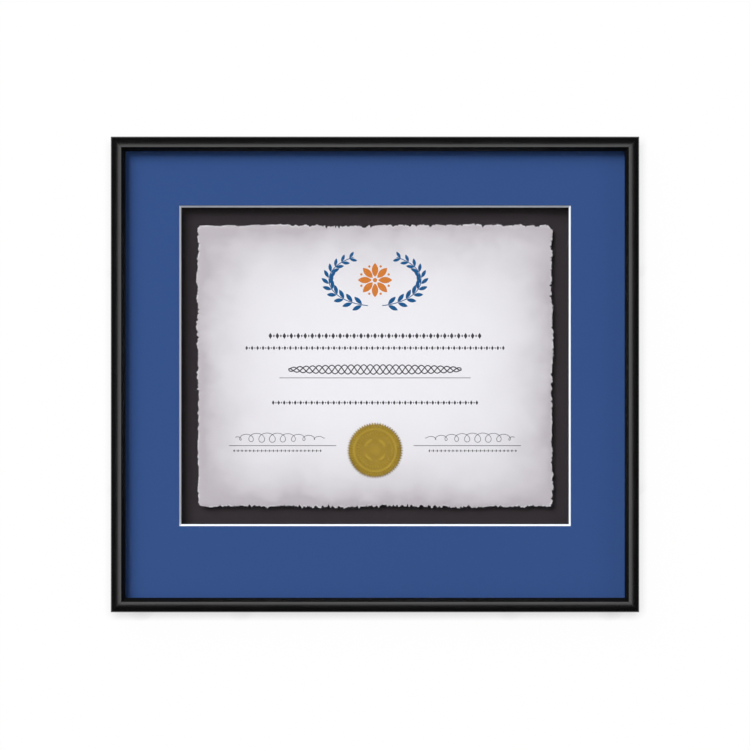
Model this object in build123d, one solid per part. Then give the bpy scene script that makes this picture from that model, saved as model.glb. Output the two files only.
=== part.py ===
from build123d import *
import math
import os

# Certificate frame. Millimetres. +X is the viewer's right, +Y points into the wall, +Z is up.
# The origin is on the wall plane, where the hanging nail meets the middle notch of the hanger.

# Certificate and seal
certificate_width = 254.0
certificate_height = 203.2
certificate_thickness = 0.4
deckle_depth = 2.0          # how far the torn edge wanders in and out
deckle_pitch = 3.2          # spacing of the points along the torn edge
corner_tear = 4.0           # how much of each corner the tear takes off
seal_diameter = 38.1
seal_tooth_depth = 0.9
seal_tooth_count = 64
seal_thickness = 0.25
seal_emboss = 0.2
seal_rim_width = 3.05       # serrated rim outside the raised ring
seal_ring_width = 1.9
seal_field_width = 4.95     # plain field between the ring and the raised disc
seal_rise = 41.0            # bottom edge of the certificate to the middle of the seal

# Mat, boards and glazing
window_gap_side = 11.8      # certificate edge to the back edge of the mat window
window_gap_end = 11.8
mat_border_side = 38.2      # mat seen between the window and the moulding
mat_border_top = 38.6
mat_border_bottom = 50.9
mat_core_thickness = 1.3
face_paper_thickness = 0.2
glazing_thickness = 2.0
glazing_gap = 0.1           # air film between the pane and the mat
spacer_thickness = 6.35
spacer_width = 22.0
mount_board_thickness = 1.5
riser_thickness = 3.0
riser_inset = 20.0          # certificate edge to riser edge
backing_thickness = 3.0
backing_drop = 0.2          # how far the back lies below the back face of the rails
board_clearance = 0.8       # between each board edge and the rabbet wall

# Moulding
rail_width = 10.35
rabbet_lip = 4.0            # how far the lip covers the pane
crest_height = 6.0          # crest above the rabbet ledge
crest_flat = 0.6
crest_round = 0.4
crown_rise = 1.6            # fall of the crowned face from the crest to the outer edge
shoulder_radius = 2.6       # rounding of the outer front edge
bevel_width = 2.7           # sight bevel as seen from the front
lip_thickness = 3.3         # of the sight edge
sight_round = 0.3
back_ease = 0.5             # chamfer of the outer back edge

# Turn buttons and their screws
button_thickness = 1.0
button_pivot_radius = 3.0
button_nose_radius = 2.8
button_reach = 12.5         # pivot to the middle of the nose
button_lift = 0.9           # finger lift at the nose
button_lift_run = 3.6
button_play = 0.1           # gap under and over the button
pivot_clearance = 0.06      # radial, button on screw
button_end_distance_x = 92.0   # frame corner to the pivots on the top and bottom rails
button_end_distance_z = 92.0   # frame corner to the pivots on the side rails
screw_diameter = 2.2
screw_length = 9.0          # in the wood
screw_head_diameter = 4.4
screw_head_height = 1.2
screw_head_bevel_height = 0.48
screw_head_bevel_width = 0.72
screw_clearance = 0.02      # radial, screws and nails in their holes
recess_span = 2.64          # cross recess from tip to tip
recess_width = 0.7
recess_depth = 0.6

# Corner nails
v_nail_leg = 3.4
v_nail_thickness = 0.5
v_nail_height = 8.0
v_nail_sink = 0.4

# Hanger, its nails and the wall bumpers
hanger_length = 46.0
hanger_height = 6.0
hanger_sheet = 0.8
hanger_gap = 1.7            # room behind the raised middle for the nail head
hanger_tab = 7.0            # flat end that lies on the rail
hanger_joggle = 2.6         # run of the bend from the tab to the raised middle
hanger_edge = 0.15          # top edge of the rail to the top edge of the hanger
hanger_corner = 1.0         # rounding of the tabs
tooth_pitch = 2.4
tooth_depth = 1.4
tooth_count = 9
hanger_nail_diameter = 1.4
hanger_nail_length = 9.0
hanger_nail_head = 3.0
hanger_nail_head_height = 0.6
hanger_nail_bevel = 0.2
bumper_diameter = 5.8
bumper_height = 3.0
bumper_bevel_height = 0.75
bumper_bevel_width = 0.36
bumper_end_distance = 20.0  # frame corner to the middle of each bumper
overrun = 1.0               # how far each cut runs past the surface

# Derived sizes
mat_thickness = face_paper_thickness + mat_core_thickness
window_width = certificate_width + 2 * window_gap_side       # at the back of the bevel
window_height = certificate_height + 2 * window_gap_end
sight_width = window_width + 2 * mat_thickness + 2 * mat_border_side
sight_height = window_height + 2 * mat_thickness + mat_border_top + mat_border_bottom
outer_width = sight_width + 2 * rail_width
outer_height = sight_height + 2 * rail_width
rear_wall = rail_width - rabbet_lip
board_width = sight_width + 2 * rabbet_lip - 2 * board_clearance
board_height = sight_height + 2 * rabbet_lip - 2 * board_clearance
rabbet_depth = (glazing_thickness + glazing_gap + mat_thickness + spacer_thickness
                + mount_board_thickness + backing_thickness + backing_drop)
rail_depth = rabbet_depth + crest_height

# Planes from front to back
rail_back_y = -bumper_height
rabbet_y = rail_back_y - rabbet_depth
glazing_back_y = rabbet_y + glazing_thickness
mat_front_y = glazing_back_y + glazing_gap
mat_core_y = mat_front_y + face_paper_thickness
mat_back_y = mat_front_y + mat_thickness
mount_y = mat_back_y + spacer_thickness
backing_y = mount_y + mount_board_thickness
riser_y = mount_y - riser_thickness
certificate_y = riser_y - certificate_thickness
seal_y = certificate_y - seal_thickness
screw_tip_y = rail_back_y - screw_length
nail_tip_y = rail_back_y + hanger_sheet - hanger_nail_length

# Heights, measured from the middle notch of the hanger
top_z = hanger_edge + hanger_height - tooth_depth
middle_z = top_z - outer_height / 2
bottom_z = top_z - outer_height
window_z = middle_z + (mat_border_bottom - mat_border_top) / 2
seal_z = window_z - certificate_height / 2 + seal_rise

# Where the fixings stand along each rail
buttons_x = outer_width / 2 - button_end_distance_x
buttons_z = outer_height / 2 - button_end_distance_z
bumpers_x = outer_width / 2 - bumper_end_distance
hanger_nails_x = hanger_length / 2 - hanger_tab / 2
inset = rear_wall / 2       # outer edge of a rail to its fixings


def facing(y, x=0.0, z=0.0):
    """Plane parallel to the wall, seen from behind the frame: local x is -X, local y is +Z."""
    return Plane(origin=(x, y, z), x_dir=(-1, 0, 0), z_dir=(0, 1, 0))


def sheet(width, height, front_y, thickness, x=0.0, z=middle_z):
    """Rectangular board parallel to the wall."""
    return extrude(facing(front_y, x, z) * Rectangle(width, height), amount=thickness)


def near(sketch, u, v):
    """Corner of a sketch closest to (u, v)."""
    return sketch.vertices().sort_by_distance((u, v, 0))[0]


def moulding_section():
    """Section of the rail: x runs inward from the outer edge, y forward from the back face."""
    crest_in = rail_width - bevel_width
    crest_out = crest_in - crest_flat
    edge_v = rail_depth - crown_rise
    lip_v = rabbet_depth + lip_thickness
    crown = TangentArc((crest_out, rail_depth), (0, edge_v), tangent=(-1, 0))
    outline = Polyline(
        (crest_out, rail_depth), (crest_in, rail_depth), (rail_width, lip_v), (rail_width, rabbet_depth),
        (rear_wall, rabbet_depth), (rear_wall, 0), (back_ease, 0), (0, back_ease), (0, edge_v))
    section = make_face([crown, outline])
    for u, v, radius in ((crest_in, rail_depth, crest_round), (rail_width, lip_v, sight_round),
                         (0, edge_v, shoulder_radius)):
        section = fillet(near(section, u, v), radius)
    return section


def v_nail():
    """Nail of the lower right corner: its point faces the sight, its legs open to the outer corner."""
    point = (rear_wall + v_nail_leg) / 2
    x, z = outer_width / 2 - point, bottom_z + point
    half = v_nail_thickness / 2
    legs = (Pos(-half, half - v_nail_leg / 2) * Rectangle(v_nail_thickness, v_nail_leg + v_nail_thickness)
            + Pos(v_nail_leg / 2 - half, half) * Rectangle(v_nail_leg + v_nail_thickness, v_nail_thickness))
    plane = Plane(origin=(x, rail_back_y - v_nail_sink, z), x_dir=(1, 0, 0), z_dir=(0, -1, 0))
    return extrude(plane * legs, amount=v_nail_height)


def four_corners(shape):
    """The shape at the lower right corner and its mirror images at the other three."""
    left = mirror(shape, Plane.YZ)
    level = Plane(origin=(0, 0, middle_z), z_dir=(0, 0, 1))
    return [shape, left, mirror(shape, level), mirror(left, level)]


def rail(length, reach, turn):
    """One mitred rail, built as the lower one and turned about the middle of the frame."""
    plane = Plane(origin=(0, rail_back_y, -reach), x_dir=(0, 0, 1), z_dir=(1, 0, 0))
    bar = extrude(plane * moulding_section(), amount=length / 2, both=True)
    for side in (1, -1):
        mitre = Plane(origin=(side * length / 2, 0, -reach), z_dir=(side, 0, 1))
        bar = split(bar, bisect_by=mitre, keep=Keep.BOTTOM)
    return Pos(0, 0, middle_z) * (Rot(0, turn, 0) * bar)


def along_y(radius, start_y, length, x, z):
    """Round bar along +Y from start_y."""
    return extrude(facing(start_y, x, z) * Circle(radius), amount=length)


def turn_button():
    """Turn button with its pivot at the origin, nose toward +Z, lying on the plane y = 0."""
    nose_end = button_reach + button_nose_radius
    bend = nose_end - button_lift_run
    side = make_face(Polyline(
        (-button_pivot_radius, 0), (bend, 0), (nose_end, button_lift),
        (nose_end, button_lift + button_thickness), (bend, button_thickness),
        (-button_pivot_radius, button_thickness), close=True))
    side_plane = Plane(origin=(0, 0, 0), x_dir=(0, 0, 1), z_dir=(-1, 0, 0))
    strip = extrude(side_plane * side, amount=button_pivot_radius, both=True)
    nose = Pos(0, button_reach) * Circle(button_nose_radius)
    plan = make_hull([Circle(button_pivot_radius).edge(), nose.edge()])
    outline = extrude(facing(0) * plan, amount=button_thickness + button_lift)
    hole = along_y(screw_diameter / 2 + pivot_clearance, -overrun, button_thickness + 2 * overrun, 0, 0)
    return (strip & outline) - hole


def screw(x, z):
    """Pan-head screw with a cross recess, its head just over the turn button."""
    under_head = rail_back_y + button_thickness + 2 * button_play
    shank = along_y(screw_diameter / 2, screw_tip_y, under_head - screw_tip_y, x, z)
    head = along_y(screw_head_diameter / 2, under_head, screw_head_height, x, z)
    head = chamfer(head.edges().group_by(Axis.Y)[-1], screw_head_bevel_height, screw_head_bevel_width)
    top = under_head + screw_head_height - recess_depth
    cross = Rectangle(recess_span, recess_width) + Rectangle(recess_width, recess_span)
    return shank + head - extrude(facing(top, x, z) * cross, amount=recess_depth + overrun)


def hanger():
    """Sawtooth hanger: flat tabs on the rail, raised middle with teeth along its lower edge."""
    end, tab = hanger_length / 2, hanger_length / 2 - hanger_tab
    flat = tab - hanger_joggle
    low, high = rail_back_y, rail_back_y + hanger_gap
    under = [(-end, low), (-tab, low), (-flat, high), (flat, high), (tab, low), (end, low)]
    over = [(x, y + hanger_sheet) for x, y in reversed(under)]
    section = make_face(Polyline(*under, *over, close=True))
    strip = extrude(Plane(origin=(0, 0, -tooth_depth), z_dir=(0, 0, 1)) * section, amount=hanger_height)
    corners = [e for e in strip.edges().filter_by(Axis.Y) if abs(e.center().X) > end - 0.01]
    strip = fillet(corners, hanger_corner)
    half = tooth_pitch / 2
    notch = make_face(Polyline((-half, -tooth_depth), (0, 0), (half, -tooth_depth), close=True))
    first = -(tooth_count - 1) / 2 * tooth_pitch
    for i in range(tooth_count):
        cut = facing(high - overrun, first + i * tooth_pitch) * notch
        strip -= extrude(cut, amount=hanger_sheet + 2 * overrun)
    hole_radius = hanger_nail_diameter / 2 + screw_clearance
    for x, z in hanger_nail_places:
        strip -= along_y(hole_radius, low - overrun, hanger_sheet + 2 * overrun, x, z)
    return strip


def hanger_nail(x, z):
    """Small nail with a flat round head."""
    body = along_y(hanger_nail_diameter / 2, nail_tip_y, hanger_nail_length, x, z)
    head = along_y(hanger_nail_head / 2, rail_back_y + hanger_sheet, hanger_nail_head_height, x, z)
    return body + chamfer(head.edges().group_by(Axis.Y)[-1], hanger_nail_bevel)


def bumper(x, z):
    """Round rubber bumper with an eased rim."""
    body = along_y(bumper_diameter / 2, rail_back_y, bumper_height, x, z)
    return chamfer(body.edges().group_by(Axis.Y)[-1], bumper_bevel_height, bumper_bevel_width)


def windowed(front_y, thickness, opening):
    """Board with the mat window cut at 45 degrees, opening outward from the back edge by the amount given."""
    board = sheet(board_width, board_height, front_y, thickness)
    cut = facing(front_y, 0, window_z) * Rectangle(window_width + 2 * opening, window_height + 2 * opening)
    return board - extrude(cut, amount=thickness, taper=45)


def deckle(t, phase):
    """Wander of the torn edge at the distance t along it, from -0.5 outward to 0.5 inward."""
    bays = math.sin(0.41 * t + phase)
    bites = 0.7 * math.sin(1.13 * t + 2.3 * phase)
    nicks = 0.5 * math.sin(2.37 * t + 0.7 * phase)
    return (bays + bites + nicks) / 4.4


def certificate_outline():
    """Torn outline of the certificate, corner by corner."""
    points = []
    half = (certificate_width / 2, certificate_height / 2)
    for side in range(4):
        run, reach = (half[0], half[1]) if side % 2 == 0 else (half[1], half[0])
        steps = max(8, round(2 * run / deckle_pitch))
        for i in range(steps):
            s = -run + 2 * run * i / steps
            off = deckle_depth * deckle(s, 1.0 + side)
            near_end = max(0.0, 1 - (run - abs(s)) / (2 * corner_tear))
            off += 0.5 * corner_tear * near_end ** 2
            points.append(Vector(s, -reach + off).rotate(Axis.Z, 90 * side))
    return make_face(Polyline(*points, close=True))


def seal():
    """Foil seal with a serrated rim, a raised ring and a raised disc."""
    outer = seal_diameter / 2
    rim = []
    for i in range(2 * seal_tooth_count):
        a = math.pi * i / seal_tooth_count
        r = outer - (seal_tooth_depth if i % 2 else 0)
        rim.append((r * math.cos(a), r * math.sin(a)))
    at = facing(seal_y, 0, seal_z)
    body = extrude(at * make_face(Polyline(*rim, close=True)), amount=seal_thickness)
    ring_outer = outer - seal_rim_width
    ring_inner = ring_outer - seal_ring_width
    raised = Circle(ring_outer) - Circle(ring_inner) + Circle(ring_inner - seal_field_width)
    return body + extrude(at * raised, amount=-seal_emboss)


# Mitred rails, cut for the corner nails, the screws and the hanger nails
corner_nails = four_corners(v_nail())
nail_slots = four_corners(extrude(v_nail().faces().sort_by(Axis.Y)[-1], amount=v_nail_sink + overrun))
rails = {
    "rail_bottom": rail(outer_width, outer_height / 2, 0),
    "rail_left": rail(outer_height, outer_width / 2, 90),
    "rail_top": rail(outer_width, outer_height / 2, 180),
    "rail_right": rail(outer_height, outer_width / 2, 270),
}

# Pivots: name, x, z and the turn that points the nose at the middle of the frame
side_x = outer_width / 2 - inset
pivots = [
    ("top_left", -buttons_x, top_z - inset, 180), ("top_right", buttons_x, top_z - inset, 180),
    ("bottom_left", -buttons_x, bottom_z + inset, 0), ("bottom_right", buttons_x, bottom_z + inset, 0),
    ("left_upper", -side_x, middle_z + buttons_z, 90), ("left_lower", -side_x, middle_z - buttons_z, 90),
    ("right_upper", side_x, middle_z + buttons_z, 270), ("right_lower", side_x, middle_z - buttons_z, 270),
]
hanger_nail_places = [(side * hanger_nails_x, top_z - inset) for side in (1, -1)]
screw_holes = [along_y(screw_diameter / 2 + screw_clearance, screw_tip_y, screw_length + overrun, x, z)
               for _, x, z, _ in pivots]
nail_holes = [along_y(hanger_nail_diameter / 2 + screw_clearance, nail_tip_y, hanger_nail_length, x, z)
              for x, z in hanger_nail_places]
rails = {name: bar - (corner_nails + nail_slots + screw_holes + nail_holes) for name, bar in rails.items()}

nodes = dict(rails)
nodes["corner_v_nails"] = Compound(children=corner_nails)

# Pane, mat and the boards behind it
nodes["glazing"] = sheet(board_width, board_height, rabbet_y, glazing_thickness)
nodes["mat_face_paper"] = windowed(mat_front_y, face_paper_thickness, mat_thickness)
nodes["mat_core"] = windowed(mat_core_y, mat_core_thickness, mat_core_thickness)
for name, side in (("spacer_top", 1), ("spacer_bottom", -1)):
    z = middle_z + side * (board_height - spacer_width) / 2
    nodes[name] = sheet(board_width, spacer_width, mat_back_y, spacer_thickness, 0, z)
for name, side in (("spacer_left", -1), ("spacer_right", 1)):
    x = side * (board_width - spacer_width) / 2
    nodes[name] = sheet(spacer_width, board_height - 2 * spacer_width, mat_back_y, spacer_thickness, x)
nodes["mount_board"] = sheet(board_width, board_height, mount_y, mount_board_thickness)
nodes["float_riser"] = sheet(certificate_width - 2 * riser_inset, certificate_height - 2 * riser_inset,
                             riser_y, riser_thickness, 0, window_z)
torn_sheet = facing(certificate_y, 0, window_z) * certificate_outline()
nodes["certificate"] = extrude(torn_sheet, amount=certificate_thickness)
nodes["gold_seal"] = seal()
nodes["backing_panel"] = sheet(board_width, board_height, backing_y, backing_thickness)

# Turn buttons on their screws
for name, x, z, turn in pivots:
    nodes["turn_button_" + name] = Pos(x, rail_back_y + button_play, z) * (Rot(0, turn, 0) * turn_button())
nodes["turn_button_screws"] = Compound(children=[screw(x, z) for _, x, z, _ in pivots])

# Hanger, its nails and the bumpers
nodes["sawtooth_hanger"] = hanger()
nodes["hanger_nails"] = Compound(children=[hanger_nail(x, z) for x, z in hanger_nail_places])
nodes["wall_bumpers"] = Compound(children=[bumper(side * bumpers_x, bottom_z + inset) for side in (1, -1)])

os.makedirs("parts", exist_ok=True)
for name, shape in nodes.items():
    export_step(shape, f"parts/{name}.step")
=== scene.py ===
import math

import bmesh
import bpy
from mathutils import Matrix, Vector, noise


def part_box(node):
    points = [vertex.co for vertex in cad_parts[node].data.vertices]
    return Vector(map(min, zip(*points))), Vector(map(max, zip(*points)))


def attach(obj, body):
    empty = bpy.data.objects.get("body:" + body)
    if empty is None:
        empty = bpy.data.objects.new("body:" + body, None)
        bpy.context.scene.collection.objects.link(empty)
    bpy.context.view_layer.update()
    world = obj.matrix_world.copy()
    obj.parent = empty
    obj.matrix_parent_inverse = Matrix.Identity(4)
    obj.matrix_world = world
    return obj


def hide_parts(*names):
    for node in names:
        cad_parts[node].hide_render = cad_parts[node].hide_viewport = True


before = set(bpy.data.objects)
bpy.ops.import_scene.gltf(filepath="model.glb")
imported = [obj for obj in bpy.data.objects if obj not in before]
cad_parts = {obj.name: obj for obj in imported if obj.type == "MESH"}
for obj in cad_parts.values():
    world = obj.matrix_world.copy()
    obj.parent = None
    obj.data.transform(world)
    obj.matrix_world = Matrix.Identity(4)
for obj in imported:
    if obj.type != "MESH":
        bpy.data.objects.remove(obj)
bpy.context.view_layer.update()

bl_info = {
    "name": "Certificate frame",
    "version": (1, 0, 0),
    "blender": (4, 5, 0),
    "location": "3D View > Sidebar > Certificate frame",
    "description": "Gives a framed certificate its finish, piece by piece",
    "category": "Object",
}

MM = 0.001
SLIVER = 0.004 * MM  # shorter edges are merged after a cut
WELD = 0.001 * MM  # corners of a construction mesh that are closer are one corner
TOUCH = 0.0001 * MM  # a point closer than this lies on a cut or on an axis
NOISE_RANGE = (0.3, 0.7)  # most values of a noise texture lie between these
PATCH_RANGE = (0.45, 0.75)  # its higher values, which stand as patches
WHITE, BLACK = (1.0, 1.0, 1.0), (0.0, 0.0, 0.0)
ROOT = "frame"
SIDES = ("bottom", "left", "top", "right")
BUTTONS = ("top_left", "top_right", "bottom_left", "bottom_right",
           "left_upper", "left_lower", "right_upper", "right_lower")


# Places read from the construction model, in metres
def middle(node):
    """Centre of a node's box."""
    low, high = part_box(node)
    return (low + high) / 2


OUTER_LOW, OUTER_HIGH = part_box("rail_bottom")[0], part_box("rail_top")[1]
RAIL_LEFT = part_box("rail_left")[0].x
RAIL_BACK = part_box("rail_bottom")[1].y
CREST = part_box("rail_bottom")[0].y
RAIL_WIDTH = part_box("rail_bottom")[1].z - OUTER_LOW.z
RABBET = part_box("glazing")[0].y
OUTER_WIDTH = -2 * RAIL_LEFT
OUTER_HEIGHT = OUTER_HIGH.z - OUTER_LOW.z
MIDDLE_Z = (OUTER_HIGH.z + OUTER_LOW.z) / 2
FRAME_MIDDLE = Vector((0.0, CREST, MIDDLE_Z))
SHEET_FRONT, SHEET_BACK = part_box("certificate")[0].y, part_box("certificate")[1].y
SHEET_MIDDLE = middle("float_riser")
SEAL_LOW, SEAL_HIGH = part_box("gold_seal")


# Properties that a user would change
def linear(red, green, blue):
    """Scene colour from 8-bit screen values."""
    def channel(value):
        level = value / 255
        return level / 12.92 if level <= 0.04045 else ((level + 0.055) / 1.055) ** 2.4
    return tuple(channel(value) for value in (red, green, blue))


def length(name, description, default):
    """Length property with its default in millimetres."""
    return bpy.props.FloatProperty(name=name, description=description, default=default * MM,
                                   min=0.0, precision=5, unit="LENGTH")


def distance(name, description, default):
    """Length property with its default in metres."""
    return bpy.props.FloatProperty(name=name, description=description, default=default,
                                   unit="LENGTH")


def power(name, description, default):
    """Power property with its default in watts."""
    return bpy.props.FloatProperty(name=name, description=description, default=default,
                                   unit="POWER")


def colour(name, description, *screen):
    """Colour property with its default in 8-bit screen values."""
    return bpy.props.FloatVectorProperty(name=name, description=description,
                                         default=linear(*screen), size=3, min=0.0, max=1.0,
                                         subtype="COLOR")


def count(name, description, default):
    """Whole-number property."""
    return bpy.props.IntProperty(name=name, description=description, default=default, min=3)


def share(name, description, default):
    """Plain factor."""
    return bpy.props.FloatProperty(name=name, description=description, default=default, min=0.0,
                                   subtype="FACTOR")


def group(kind, name, description):
    """Pointer to a group of properties."""
    return bpy.props.PointerProperty(type=kind, name=name, description=description)


class MouldingSizes(bpy.types.PropertyGroup):
    """Section of the rails."""
    rabbet_lip: length("Rabbet lip", "How far the lip covers the pane", 4.0)
    crest_flat: length("Crest flat", "Width of the flat on the crest", 0.6)
    crest_round: length("Crest rounding", "Radius between the crest and the sight bevel", 0.4)
    crown_rise: length("Crown rise", "Fall of the crowned face to the outer edge", 1.6)
    shoulder_radius: length("Shoulder radius", "Rounding of the outer front edge", 2.6)
    bevel_width: length("Sight bevel", "Width of the sight bevel as seen from the front", 2.7)
    lip_thickness: length("Lip thickness", "Height of the sight edge", 3.3)
    sight_round: length("Sight rounding", "Radius of the sight edge", 0.3)
    back_ease: length("Back chamfer", "Chamfer of the outer back edge", 0.5)
    mitre_ease: length("Mitre easing", "Rounding of the cut ends at the mitres", 0.09)


class SheetSizes(bpy.types.PropertyGroup):
    """Certificate, its print and its seal."""
    width: length("Width", "Sheet from edge to edge", 254.0)
    height: length("Height", "Sheet from edge to edge", 201.7)
    deckle_depth: length("Deckle depth", "How far the torn edge wanders in and out", 1.5)
    deckle_step: length("Deckle step", "Spacing of the points along the torn edge", 0.3)
    corner_radius: length("Corner radius", "Rounding of the torn corners", 4.2)
    edge_thickness: length("Edge thickness", "Thickness of the paper at the torn edge", 0.12)
    edge_curl: length("Edge curl", "How far the edge lifts and dips", 0.35)
    wave_margin: length("Wave margin", "Distance from the edge at which the sheet lies flat", 20.0)
    ink_height: length("Ink height", "How far the print stands on the paper", 0.02)
    seal_teeth: count("Seal teeth", "Serrations round the seal", 64)
    seal_tooth_depth: length("Tooth depth", "Depth of the serrations", 2.0)
    seal_tooth_reach: length("Tooth reach", "How far the points pass the seal's nominal edge", 1.1)
    seal_relief: length("Seal relief", "Height of the embossing", 0.2)


class FixingSizes(bpy.types.PropertyGroup):
    """Turn buttons, screws, hanger, nails and bumpers."""
    button_thickness: length("Button thickness", "Sheet of the turn buttons", 1.0)
    button_pivot_radius: length("Pivot radius", "Round end of the turn button at its screw", 3.0)
    button_nose_radius: length("Nose radius", "Round end of the turn button on the back", 2.8)
    button_reach: length("Button reach", "Pivot to the middle of the nose", 12.5)
    button_hole_radius: length("Button hole", "Radius of the hole for the screw", 1.16)
    button_lift: length("Button lift", "Finger lift at the nose", 0.9)
    button_lift_run: length("Lift run", "Length of the lifted nose", 3.6)
    screw_radius: length("Screw radius", "Shank of the screws", 1.1)
    screw_length: length("Screw length", "Shank in the wood", 9.0)
    screw_head_radius: length("Screw head radius", "Pan head of the screws", 2.2)
    screw_head_height: length("Screw head height", "Pan head of the screws", 1.2)
    recess_arm: length("Recess arm", "Middle of the head to the end of the cross recess", 1.25)
    recess_width: length("Recess width", "Width of the cross recess", 0.62)
    recess_depth: length("Recess depth", "Depth of the cross recess", 0.6)
    tooth_count: count("Hanger teeth", "Notches along the hanger", 9)
    tooth_pitch: length("Tooth pitch", "Spacing of the notches", 2.4)
    tooth_depth: length("Tooth depth", "Depth of the notches", 1.4)
    hanger_sheet: length("Hanger sheet", "Thickness of the hanger", 0.8)
    hanger_gap: length("Hanger gap", "Room behind the raised middle", 1.7)
    hanger_tab: length("Hanger tab", "Flat end that lies on the rail", 7.0)
    hanger_joggle: length("Hanger joggle", "Run of the bend to the raised middle", 2.6)
    nail_radius: length("Nail radius", "Shank of the hanger nails", 0.7)
    nail_length: length("Nail length", "Hanger nail below its head", 9.0)
    nail_head_radius: length("Nail head radius", "Head of the hanger nails", 1.5)
    nail_head_height: length("Nail head height", "Head of the hanger nails", 0.6)
    metal_ease: length("Metal easing", "Rounding of the stamped edges", 0.16)


class Finishes(bpy.types.PropertyGroup):
    """Colours of the surfaces."""
    lacquer: colour("Lacquer", "Black lacquer of the rails", 15, 15, 15)
    bare_back: colour("Rail back", "Stained wood at the back of the rails", 52, 39, 32)
    mat_blue: colour("Mat paper", "Face paper of the mat", 55, 84, 140)
    mat_white: colour("Mat core", "Cut bevel of the mat", 241, 246, 254)
    board: colour("Mount board", "Board behind the certificate", 56, 51, 54)
    foam: colour("Foam board", "Spacers and riser", 232, 232, 228)
    paper: colour("Paper", "Middle of the certificate", 247, 246, 250)
    paper_edge: colour("Paper edge", "Shaded margin of the certificate", 195, 189, 194)
    gold: colour("Gold foil", "Seal", 163, 134, 40)
    ink_dark: colour("Dark ink", "Rules and ornament rows", 66, 64, 68)
    ink_blue: colour("Blue ink", "Wreath", 22, 88, 140)
    ink_orange: colour("Orange ink", "Rosette", 216, 128, 56)
    hardboard: colour("Hardboard", "Back panel", 124, 88, 58)
    zinc: colour("Zinc", "Buttons, hanger and nails", 196, 198, 200)
    screw_zinc: colour("Screw zinc", "Screws", 206, 203, 192)
    rubber: colour("Rubber", "Wall bumpers", 38, 38, 40)


class StageSettings(bpy.types.PropertyGroup):
    """Camera, light and backdrop."""
    camera_distance: distance("Camera distance", "Camera to the crest of the moulding", 3.0)
    field_width: distance("Field width", "Width that the picture takes in at the crest", 0.5355)
    camera_drop: length("Camera drop", "Camera below the middle of the frame", 0.4)
    front_power: power("Front light", "Power of the wide light behind the camera", 5.4)
    key_power: power("Key light", "Power of the light at the upper left", 905.0)
    fill_power: power("Fill light", "Power of the low light at the right", 71.0)
    rear_power: power("Rear light", "Power of each light behind the wall plane", 30.0)
    ambient: share("Ambient", "Light from all round", 0.02)
    backdrop: colour("Backdrop", "Wall and floor", 250, 250, 250)


class CertificateFrame(bpy.types.PropertyGroup):
    """All settings of the certificate frame."""
    moulding: group(MouldingSizes, "Moulding", "Section of the rails")
    sheet: group(SheetSizes, "Sheet", "Certificate, print and seal")
    fixings: group(FixingSizes, "Fixings", "Metal and rubber fixings")
    finish: group(Finishes, "Finish", "Colours of the surfaces")
    stage: group(StageSettings, "Stage", "Camera, light and backdrop")


# Node helpers
def node(tree, kind, inputs=None, **settings):
    """New node with its settings, and its inputs linked or set."""
    made = tree.nodes.new(kind)
    for key, value in settings.items():
        setattr(made, key, value)
    for key, value in (inputs or {}).items():
        if isinstance(value, bpy.types.NodeSocket):
            tree.links.new(value, made.inputs[key])
        else:
            made.inputs[key].default_value = value
    return made


def rgba(rgb, factor=1.0):
    """Colour with an alpha, made lighter or darker by a factor."""
    return (*(min(1.0, value * factor) for value in rgb), 1.0)


def new_material(name):
    """Empty node material and its tree."""
    material = bpy.data.materials.new(name)
    material.use_nodes = True
    material.node_tree.nodes.clear()
    return material, material.node_tree


def place(tree, scale=(1.0, 1.0, 1.0), attribute=None):
    """Object coordinates, or an attribute of the piece, stretched for a texture."""
    if attribute:
        source = node(tree, "ShaderNodeAttribute", attribute_name=attribute).outputs["Vector"]
    else:
        source = node(tree, "ShaderNodeTexCoord").outputs["Object"]
    return node(tree, "ShaderNodeMapping", {"Vector": source, "Scale": scale}).outputs["Vector"]


def cloud(tree, vector, size, detail=3.0, roughness=0.55, distortion=0.0):
    """Noise with features of about the given size in metres."""
    inputs = {"Vector": vector, "Scale": 1 / size, "Detail": detail, "Roughness": roughness,
              "Distortion": distortion}
    return node(tree, "ShaderNodeTexNoise", inputs).outputs[0]


def cells(tree, size):
    """Distance from the middle of the nearest cell, with cells of about a size in metres."""
    inputs = {"Vector": place(tree), "Scale": 1 / size, "Randomness": 1.0}
    return node(tree, "ShaderNodeTexVoronoi", inputs).outputs["Distance"]


def ranged(tree, value, start, end, low, high):
    """Value mapped from one range to another and clamped."""
    inputs = {"Value": value, "From Min": start, "From Max": end, "To Min": low, "To Max": high}
    return node(tree, "ShaderNodeMapRange", inputs).outputs["Result"]


def blended(tree, factor, first, second, mode="MIX"):
    """Mix of two colours: the node takes its factor at 0 and its colours at 6 and 7."""
    return node(tree, "ShaderNodeMix", {0: factor, 6: first, 7: second}, data_type="RGBA",
                blend_type=mode).outputs[2]


def maths(tree, operation, first, second):
    """One sum on two values."""
    return node(tree, "ShaderNodeMath", {0: first, 1: second}, operation=operation).outputs[0]


def bump(tree, height, depth, below=None):
    """Relief of the given depth in metres, over another relief."""
    inputs = {"Height": height, "Distance": depth, "Strength": 1.0}
    if below is not None:
        inputs["Normal"] = below
    return node(tree, "ShaderNodeBump", inputs).outputs[0]


def roughness_between(tree, factor, low, high):
    """Roughness that follows a factor."""
    return ranged(tree, factor, 0.25, 0.75, low, high)


def finish_surface(tree, inputs):
    """Principled surface on the material's output."""
    shader = node(tree, "ShaderNodeBsdfPrincipled", inputs)
    node(tree, "ShaderNodeOutputMaterial", {"Surface": shader.outputs[0]})


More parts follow.
